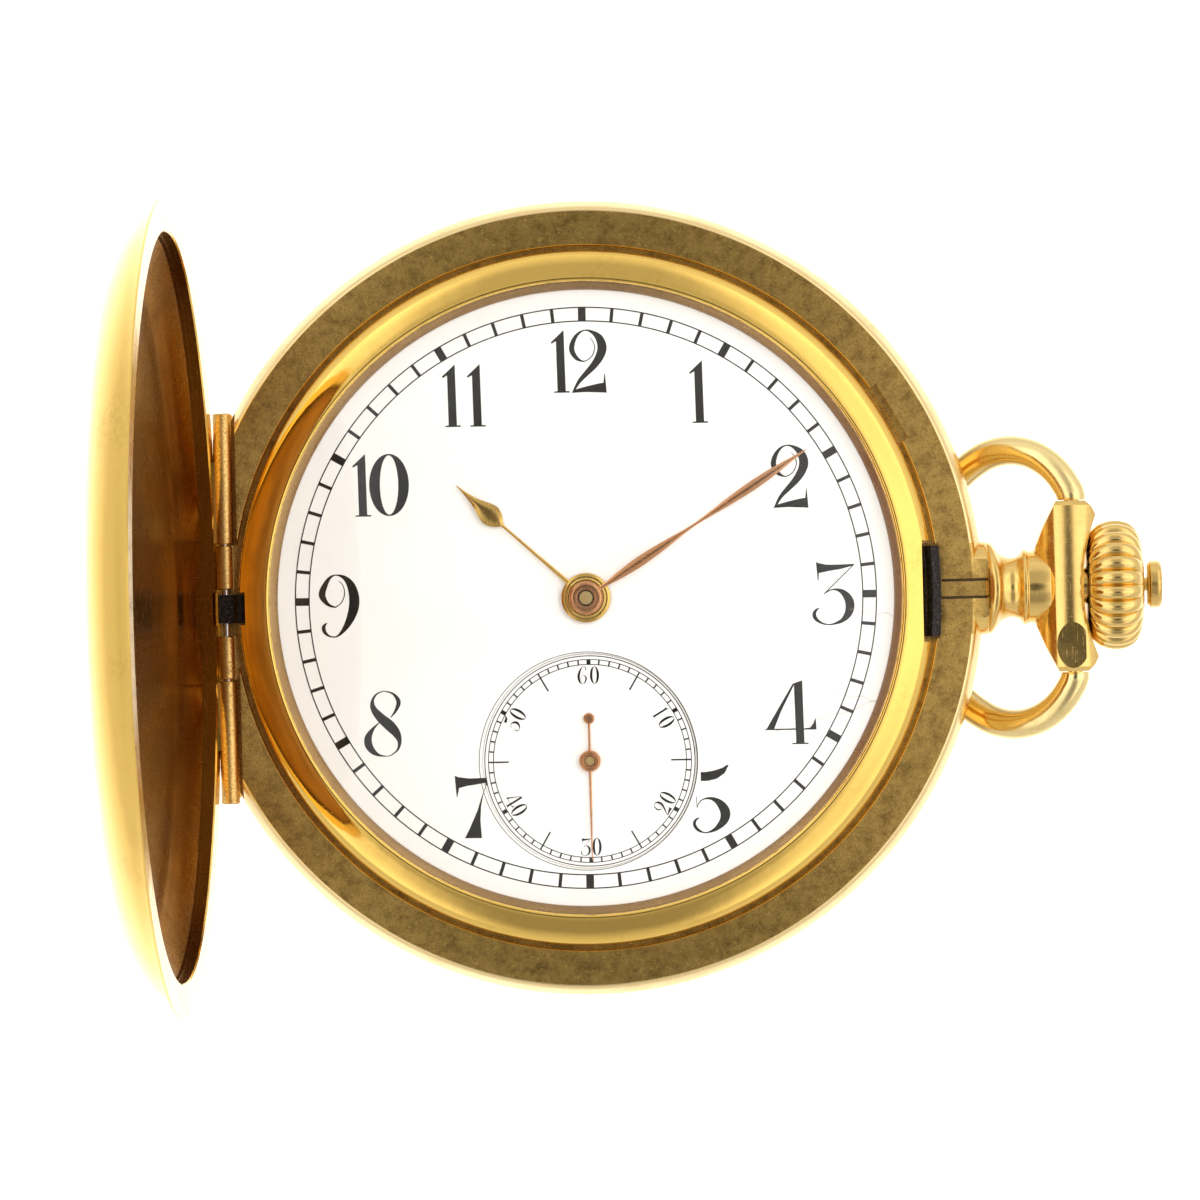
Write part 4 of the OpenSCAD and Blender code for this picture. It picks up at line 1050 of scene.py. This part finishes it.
class Print:
    """Thin raised print: closed strokes and shapes gathered into one mesh."""

    def __init__(self, z):
        self.z = z
        self.verts = []
        self.faces = []
        self.count = 0

    def shape(self, outline):
        """A thin slab on a closed outline."""
        area = sum(a[0] * b[1] - b[0] * a[1] for a, b in zip(outline, outline[1:] + outline[:1]))
        if area < 0:
            outline = outline[::-1]
        start, n = len(self.verts), len(outline)
        self.count += 1
        top = self.z + PROUD + 0.0004 * (self.count % 7)
        self.verts += [(x, y, self.z - 0.01) for x, y in outline] + [(x, y, top) for x, y in outline]
        self.faces.append(tuple(start + i for i in range(n))[::-1])
        self.faces.append(tuple(start + n + i for i in range(n)))
        for i in range(n):
            j = (i + 1) % n
            self.faces.append((start + i, start + j, start + n + j, start + n + i))

    def ring(self, cx, cy, r, width, a=0.0, b=360.0, steps=256):
        """A circle line, or part of one, as a strip of quads."""
        start = len(self.verts)
        closed = b - a >= 360
        count = steps if closed else steps + 1
        self.count += 1
        top = self.z + PROUD + 0.0004 * (self.count % 7)
        for k in range(count):
            c, s = polar(1, a + (b - a) * k / steps)
            for r1, z in ((r - width / 2, self.z - 0.01), (r - width / 2, top), (r + width / 2, top),
                          (r + width / 2, self.z - 0.01)):
                self.verts.append((cx + r1 * c, cy + r1 * s, z))
        for k in range(steps):
            p, q = start + 4 * k, start + 4 * ((k + 1) % count)
            self.faces += [(p + i, q + i, q + (i + 1) % 4, p + (i + 1) % 4) for i in range(4)]
        if not closed:
            last = start + 4 * steps
            self.faces += [(start, start + 1, start + 2, start + 3), (last + 3, last + 2, last + 1, last)]

    def tick(self, cx, cy, r0, r1, degrees, width):
        c, s = polar(1, degrees)
        h = width / 2
        self.shape([(cx + r * c - side * s, cy + r * s + side * c)
                    for r, side in ((r0, -h), (r1, -h), (r1, h), (r0, h))])

    def stroke(self, points, place):
        """A brush stroke: a smooth line through (x, y, width) points, with round ends."""
        line = smooth_line(points, LEAST_STROKE)
        left, right = [], []
        for i, (x, y, w) in enumerate(line):
            ax, ay, _ = line[max(0, i - 1)]
            bx, by, _ = line[min(len(line) - 1, i + 1)]
            d = hypot(bx - ax, by - ay) or 1.0
            nx, ny = -(by - ay) / d, (bx - ax) / d
            left.append((x + nx * w / 2, y + ny * w / 2))
            right.append((x - nx * w / 2, y - ny * w / 2))
        caps = []
        for (x, y, w), (px, py, _) in ((line[-1], line[-2]), (line[0], line[1])):
            base = atan2(y - py, x - px)
            caps.append([(x + w / 2 * cos(base + t), y + w / 2 * sin(base + t))
                         for t in [pi / 2 - pi * k / 6 for k in range(1, 6)]])
        self.shape([place(x, y) for x, y in left + caps[0] + right[::-1] + caps[1]])

    def make(self, name, material="ink"):
        return new_object(name, self.verts, self.faces, material, merge=1e-6)


LEAST_STROKE = 0.6
LEAST_BLADE = 0.015


def smooth_line(points, least):
    """Catmull-Rom curve through the points, whose last number is a width that is never under the least."""
    out = []
    n, steps = len(points), 5
    for i in range(n - 1):
        p = [points[max(0, i - 1)], points[i], points[i + 1], points[min(n - 1, i + 2)]]
        for k in range(steps):
            t = k / steps
            out.append(tuple(0.5 * (2 * b + (c - a) * t + (2 * a - 5 * b + 4 * c - d) * t * t
                                    + (3 * b - a - 3 * c + d) * t ** 3) for a, b, c, d in zip(*p)))
    out.append(points[-1])
    return [(*point[:-1], max(point[-1], least)) for point in out]


# Old-style numerals: strokes hold (x, y, width) and shapes hold (x, y), in hundredths of the numeral's height
NUMERALS = {
    "1": {
        "shapes": [
            [(7, 100), (9.3, 2.5), (15.4, 2.5), (15.4, 0), (-9.3, 0), (-9.3, 2), (-3.8, 2.5), (-5.4, 82.5),
             (-12.2, 78.5), (-13.8, 80.5)],
        ],
    },
    "2": {
        "strokes": [
            [(3.8, 87.5, 1), (9.6, 78.5, 1.3), (10.9, 69, 1.6), (6.4, 57.7, 1.6), (-1.6, 51.3, 1.6),
             (-9, 50, 2.5), (-19.2, 56, 6.5), (-25.6, 69, 8.5), (-22.4, 83.3, 7), (-14.4, 94.5, 4),
             (-3.8, 99.4, 2), (8, 96, 5.5), (18.6, 86.5, 12), (23, 72, 14.7), (19.2, 57.7, 13.5),
             (9.6, 43.3, 11), (-3.2, 29.8, 8.3), (-14.4, 17.6, 5.8), (-23, 3.2, 3.2)],
        ],
        "shapes": [
            [(-27, -0.6), (-25.6, 1.6), (-20.8, 4.8), (-3.2, 9.6), (16, 13.8), (24.4, 15), (26, 29.8),
             (27, 29.8), (29.5, -1), (16, -0.3), (-3.2, 0.6), (-16, 0)],
        ],
    },
    "3": {
        "strokes": [
            [(36.5, 95.5, 1.6), (-11.2, 49.4, 1.6)],
            [(-11.2, 49.4, 1.3), (-3.2, 54.2, 1.6), (4.8, 56.4, 2.6), (16, 53.5, 7), (25, 44.9, 12.2),
             (29.8, 32.7, 14.4), (27.2, 18.3, 12.2), (17.6, 7, 7), (4.8, 1.6, 3.2), (-4.8, 0.3, 2),
             (-16, 2.9, 3.2), (-25, 9.6, 5.8), (-27.6, 17.3, 5.8), (-24.4, 23.7, 3.8), (-19.6, 26.6, 1.3)],
        ],
        "shapes": [
            [(-23.7, 100.6), (-19.2, 98.7), (-6.4, 96), (12.8, 96), (37.5, 96.8), (35.9, 94.2), (16, 88.8),
             (-3.2, 85.9), (-19.2, 82.7), (-19.9, 71), (-21.2, 71)],
        ],
    },
    "4": {
        "shapes": [
            [(4.8, 96.8), (20.2, 102), (22.4, 2.2), (28.8, 2.2), (28.8, 0), (2.6, 0), (2.6, 2), (9.3, 2.2),
             (6.7, 95.5)],
            [(4.8, 96.8), (7, 95), (-14.4, 52.6), (-25.6, 25), (-38, 24.5), (-32, 35), (-22.4, 51)],
            [(-42.3, 23), (41.6, 23), (41.6, 25), (-38, 25.3)],
            [(41, 42.3), (42, 23), (21.8, 23), (21.8, 25), (32, 26.3), (36.9, 32.7)],
        ],
    },
    "5": {
        "strokes": [
            [(-21.8, 58, 1), (-20.8, 40.7, 1)],
            [(-20.8, 40.7, 1), (-16, 50.3, 1.6), (-6.4, 55.1, 2.6), (6.4, 53.5, 6.4), (17.6, 44.9, 12.8),
             (24, 32.7, 16), (21.8, 19.9, 13.5), (11.2, 8, 7.7), (0, 1.9, 3.2), (-9.6, 0.6, 2),
             (-19.2, 4.5, 4.5), (-25, 11.9, 5), (-25, 18.3, 4.5), (-20.8, 23, 2.6), (-17.3, 24, 1)],
        ],
        "shapes": [
            [(-14.4, 97.4), (-6.4, 97.4), (6.4, 99.4), (19.2, 103.2), (28.8, 108.7), (30.4, 107.7),
             (24, 95.2), (11.2, 86.2), (-3.2, 83), (-14.4, 83)],
        ],
    },
    "7": {
        "shapes": [
            [(-23, 100.3), (-17.6, 98), (0, 95.5), (27.2, 96.2), (27.2, 88.5), (12.8, 85.9), (-3.2, 83.7),
             (-16, 80.4), (-19.2, 66), (-20.2, 66)],
            [(28.2, 85.3), (22.4, 69.9), (18.6, 50.6), (17.3, 28.2), (19.2, 0), (-8, 0), (0, 15.4),
             (12.8, 44.2), (19.9, 66.7), (25.6, 81)],
        ],
        "strokes": [
            [(27.2, 92, 2.2), (28, 85, 2.2)],
        ],
    },
    "8": {
        "strokes": [
            [(4.8, 104.8, 1.3), (19.9, 100.3, 3.2), (28.8, 87.5, 7), (24, 73, 4.5), (16, 62.5, 1.3)],
            [(4.8, 104.8, 1.3), (-6.4, 99.7, 2.6), (-12.8, 89.1, 5), (-11.2, 76.3, 9.6), (0, 61.9, 14.4),
             (14.4, 49, 16.7), (25, 36.2, 12.8), (29.5, 23.4, 6.4), (26.3, 10.6, 3.2), (16, 2.2, 1.6),
             (8, 0.3, 1.3)],
            [(-3.2, 53.8, 1.3), (-12.8, 44.2, 5), (-20.2, 31.4, 11), (-19.9, 18.6, 12.2), (-12.8, 8, 9),
             (-3.2, 2.2, 3.8), (8, 0.3, 1.3)],
        ],
    },
    "9": {
        "strokes": [
            [(4.8, 90.7, 1), (11.2, 83.3, 1.3), (13.8, 70.5, 1.6), (9.6, 57.7, 1.6), (1.6, 50.3, 1.6),
             (-3.2, 49, 2.5), (-14.4, 54.5, 5.8), (-22.4, 68.9, 10.9), (-16, 86.5, 7.7), (-8, 97, 3.8),
             (1.6, 100, 2), (14.4, 95.2, 7), (24, 83.3, 12.8), (28.8, 65.7, 16), (28.2, 48, 16),
             (22.4, 30.4, 12.8), (14.4, 16, 8.3), (4.8, 4.8, 3.8), (-3.2, 1, 2), (-12.8, 3.2, 3.2),
             (-19.2, 9.6, 5.8), (-20.5, 17, 5.8), (-17.6, 21.5, 3.2), (-15, 23.4, 1)],
        ],
    },
}
# Hour: the middle of the numeral, the drop from there to its base line, and its digits with their places
HOURS = [
    ("12", (-0.3, 15.4), 2.0, [("1", -29.3), ("2", 16)]),
    ("1", (7.5, 13.3), 2.0, [("1", 0)]),
    ("2", (13.4, 7.7), 2.0, [("2", 0)]),
    ("3", (16.0, 0), 1.99, [("3", 0)]),
    ("4", (13.2, -7.6), 2.15, [("4", 0)]),
    ("5", (7.9, -13.2), 2.25, [("5", 0)]),
    ("7", (-7.8, -13.5), 2.07, [("7", 0)]),
    ("8", (-13.5, -7.9), 2.26, [("8", 0)]),
    ("9", (-16.3, -0.2), 2.16, [("9", 0)]),
    ("10", (-13.4, 7.5), 1.99, [("1", -28.5), ("0", 16.3)]),
    ("11", (-8.0, 13.3), 2.03, [("1", -15.4), ("1", 24.5)]),
]
# Figure of the seconds dial, its place and its lean, in degrees
SECONDS = [
    ("60", 90, 0), ("10", 30, -60), ("20", -30, 60),
    ("30", -90, 0), ("40", -150, -60), ("50", 150, 60),
]
HAIRLINES = [((11.5, -9.3), (19.9, -6.9)), ((16.0, -6.6), (20.0, -7.4)), ((17.2, -1.2), (20.0, -1.6))]
NUMERAL_HEIGHT = 4.08
SMALL_HEIGHT = 1.15


def draw_digit(pen, digit, place):
    if digit == "0":
        outer = [(31.7 * cos(t), 50 + 49.7 * sin(t)) for t in round_turn(48)]
        inner = [(14.7 * cos(t), 50 + 47.4 * sin(t)) for t in round_turn(48)]
        for k in range(0, 48, 6):
            ids = [(k + i) % 48 for i in range(7)]
            pen.shape([place(*outer[i]) for i in ids] + [place(*inner[i]) for i in ids[::-1]])
        return
    glyph = NUMERALS[digit]
    for line in glyph.get("strokes", []):
        pen.stroke(line, place)
    for outline in glyph.get("shapes", []):
        pen.shape([place(x, y) for x, y in outline])


def make_dial_print():
    pen = Print(DIAL_Z)
    for r in TRACK:
        pen.ring(0, 0, r, 0.08, steps=360)
    for k in range(60):
        pen.tick(0, 0, *TRACK, 90 - 6 * k, 0.5 if k % 5 == 0 else 0.22)
    for _, (cx, cy), drop, digits in HOURS:
        for digit, dx in digits:
            unit = NUMERAL_HEIGHT / 100
            draw_digit(pen, digit, lambda x, y: (cx + (x + dx) * unit, cy - drop + y * unit))
    pen.ring(0, SMALL_Y, 7.12, 0.04, steps=256)
    piece = placed(pen.make("dial_print"), turn(DIAL_TURN, "Z"))
    stands_for(piece, "case", "enamel")

    pen = Print(SMALL_Z)
    for r in SMALL_TRACK:
        pen.ring(0, 0, r, 0.055, steps=256)
    pen.ring(0, 0, 6.86, 0.06, steps=256)
    for k in range(60):
        inner = 5.3 if k % 10 == 5 else SMALL_TRACK[0]
        pen.tick(0, 0, inner, SMALL_TRACK[1], 90 - 6 * k, 0.26 if k % 10 == 0 else 0.1)
    for text, degrees, lean in SECONDS:
        cx, cy = polar(5.6, degrees)
        c, s = polar(1, lean)
        for i, digit in enumerate(text):
            dx = (-0.33 if i == 0 else 0.33) * SMALL_HEIGHT

            def place(x, y, flip=digit == "6", dx=dx, c=c, s=s, cx=cx, cy=cy):
                if flip:
                    x, y = -x, 100 - y
                u, v = x / 100 * SMALL_HEIGHT * 0.82 + dx, (y / 100 - 0.5) * SMALL_HEIGHT
                return cx + u * c - v * s, cy + u * s + v * c

            draw_digit(pen, "9" if digit == "6" else digit, place)
    piece = placed(pen.make("seconds_print"), moved(0, SMALL_Y, 0) @ turn(DIAL_TURN, "Z"))
    stands_for(piece, "case", "enamel")

    pen = Print(DIAL_Z)
    for start, end in HAIRLINES:
        n = 10
        line = []
        for k in range(n + 1):
            t = k / n
            line.append((start[0] + (end[0] - start[0]) * t, start[1] + (end[1] - start[1]) * t
                         + 0.12 * sin(k * 1.7), 0.025))
        left = [(x, y + w / 2) for x, y, w in line]
        right = [(x, y - w / 2) for x, y, w in line]
        pen.shape(left + right[::-1])
    stands_for(pen.make("dial_hairlines", "crack"), "case", "enamel")


make_dials()
make_dial_print()

# ---------- hands ----------


def hand_blade(name, stations, low, thick, rise, material):
    """A slim blade along +X with a domed top: stations hold (distance, half width)."""
    rings = []
    for x, w in stations:
        h = thick * min(1.0, 0.45 + w / 0.35)
        ridge = low + h + rise * min(1, w / 0.4)
        side, slope = low + h * 0.55, low + h * 0.85
        half = [(x, -w, low), (x, -w, side), (x, -0.62 * w, slope)]
        rings.append(half + [(x, 0, ridge)] + [(x, -y, z) for x, y, z in half[::-1]])
    return lofted(name, rings, material, angle=60)


def make_hands():
    leaf = [
        (1.2, 0.15), (3.0, 0.12), (6.0, 0.09), (7.1, 0.1), (7.35, 0.24), (7.7, 0.52), (8.2, 0.7), (8.7, 0.6),
        (9.2, 0.4), (9.8, 0.22), (10.5, 0.1), (11.2, 0.025),
    ]
    blade = hand_blade("b", smooth_line(leaf, LEAST_BLADE), 8.85, 0.1, 0.05, "gold_hand")
    corners = [(0.75, 8.8), (1.6, 8.8), (1.62, 8.92), (1.42, 8.99), (1.3, 8.99), (1.22, 9.06), (0.75, 9.06)]
    hub = turned("h", eased(corners, [0, 0.03, 0.05, 0.03, 0.02, 0.03, 0.04]), "gold_hand", 96)
    piece = placed(joined("hour_hand_leaf", [blade, hub]), turn(137.8, "Z"))
    stands_for(piece, "hour", "rose_gold", "hour_hand")

    leaf = [
        (0.8, 0.12), (1.6, 0.13), (2.6, 0.24), (4.2, 0.33), (6.0, 0.26), (7.6, 0.13), (8.6, 0.085),
        (9.6, 0.13), (11.2, 0.24), (13.0, 0.31), (14.6, 0.26), (16.0, 0.14), (17.3, 0.03),
    ]
    blade = hand_blade("b", smooth_line(leaf, LEAST_BLADE), 9.3, 0.1, 0.05, "rose")
    corners = [(0.5, 9.25), (1.08, 9.25), (1.11, 9.38), (0.98, 9.5), (0.82, 9.52), (0.5, 9.5)]
    hub = turned("h", eased(corners, [0, 0.03, 0.05, 0.05, 0.04, 0.04]), "rose", 96)
    piece = placed(joined("minute_hand_leaf", [blade, hub]), turn(32.6, "Z"))
    stands_for(piece, "centre", "rose_gold", "minute_hand")

    needle = [
        (-2.45, 0.075), (-1.5, 0.07), (-0.6, 0.08), (0.6, 0.08), (2.5, 0.075), (4.5, 0.06), (6.46, 0.03),
    ]
    blade = hand_blade("b", smooth_line(needle, LEAST_BLADE), 8.56, 0.08, 0.01, "rose")
    corners = [(0.28, 8.5), (0.68, 8.5), (0.7, 8.68), (0.6, 8.79), (0.46, 8.8), (0.42, 8.74), (0.28, 8.74)]
    hub = turned("h", eased(corners, [0, 0.02, 0.04, 0.04, 0.02, 0.02, 0.02]), "rose", 96)
    corners = [(0, 8.55), (0.34, 8.55), (0.37, 8.61), (0.3, 8.67), (0, 8.68)]
    counter = turned("t", eased(corners, [0, 0.02, 0.03, 0.04, 0]), "rose", 48)
    placed(counter, moved(-2.78, 0, 0))
    piece = joined("seconds_hand_needle", [blade, hub, counter])
    placed(piece, moved(0, SMALL_Y, 0) @ turn(-90, "Z"))
    stands_for(piece, "fourth", "rose_gold", "seconds_hand")


make_hands()

# ---------- materials of the CAD nodes that stay ----------

NODE_MATERIALS = {
    "steel": "pendant_sleeve lid_hinge_pin back_hinge_pin case_screws bridge_screws barrel_arbor "
             "mainspring ratchet_wheel ratchet_screw crown_wheel crown_wheel_core click click_spring "
             "escape_wheel pallet_fork balance_staff regulator stem winding_pinion sliding_pinion "
             "setting_lever yoke motion_studs",
    "dark_pin": "cannon_pinion",
    "striped": "barrel_bridge train_bridge balance_cock pallet_cock mainplate",
    "frosted": "barrel_drum barrel_cover centre_wheel third_wheel fourth_wheel minute_wheel hour_wheel "
               "setting_wheel",
    "gold_worn": "bow_screws",
    "gold": "balance_wheel",
    "blued": "hairspring",
    "ruby": "jewels",
}
for material, names in NODE_MATERIALS.items():
    for node in names.split():
        for one in frame["nodes"][node].material_slots:
            one.material = MATERIALS[material]
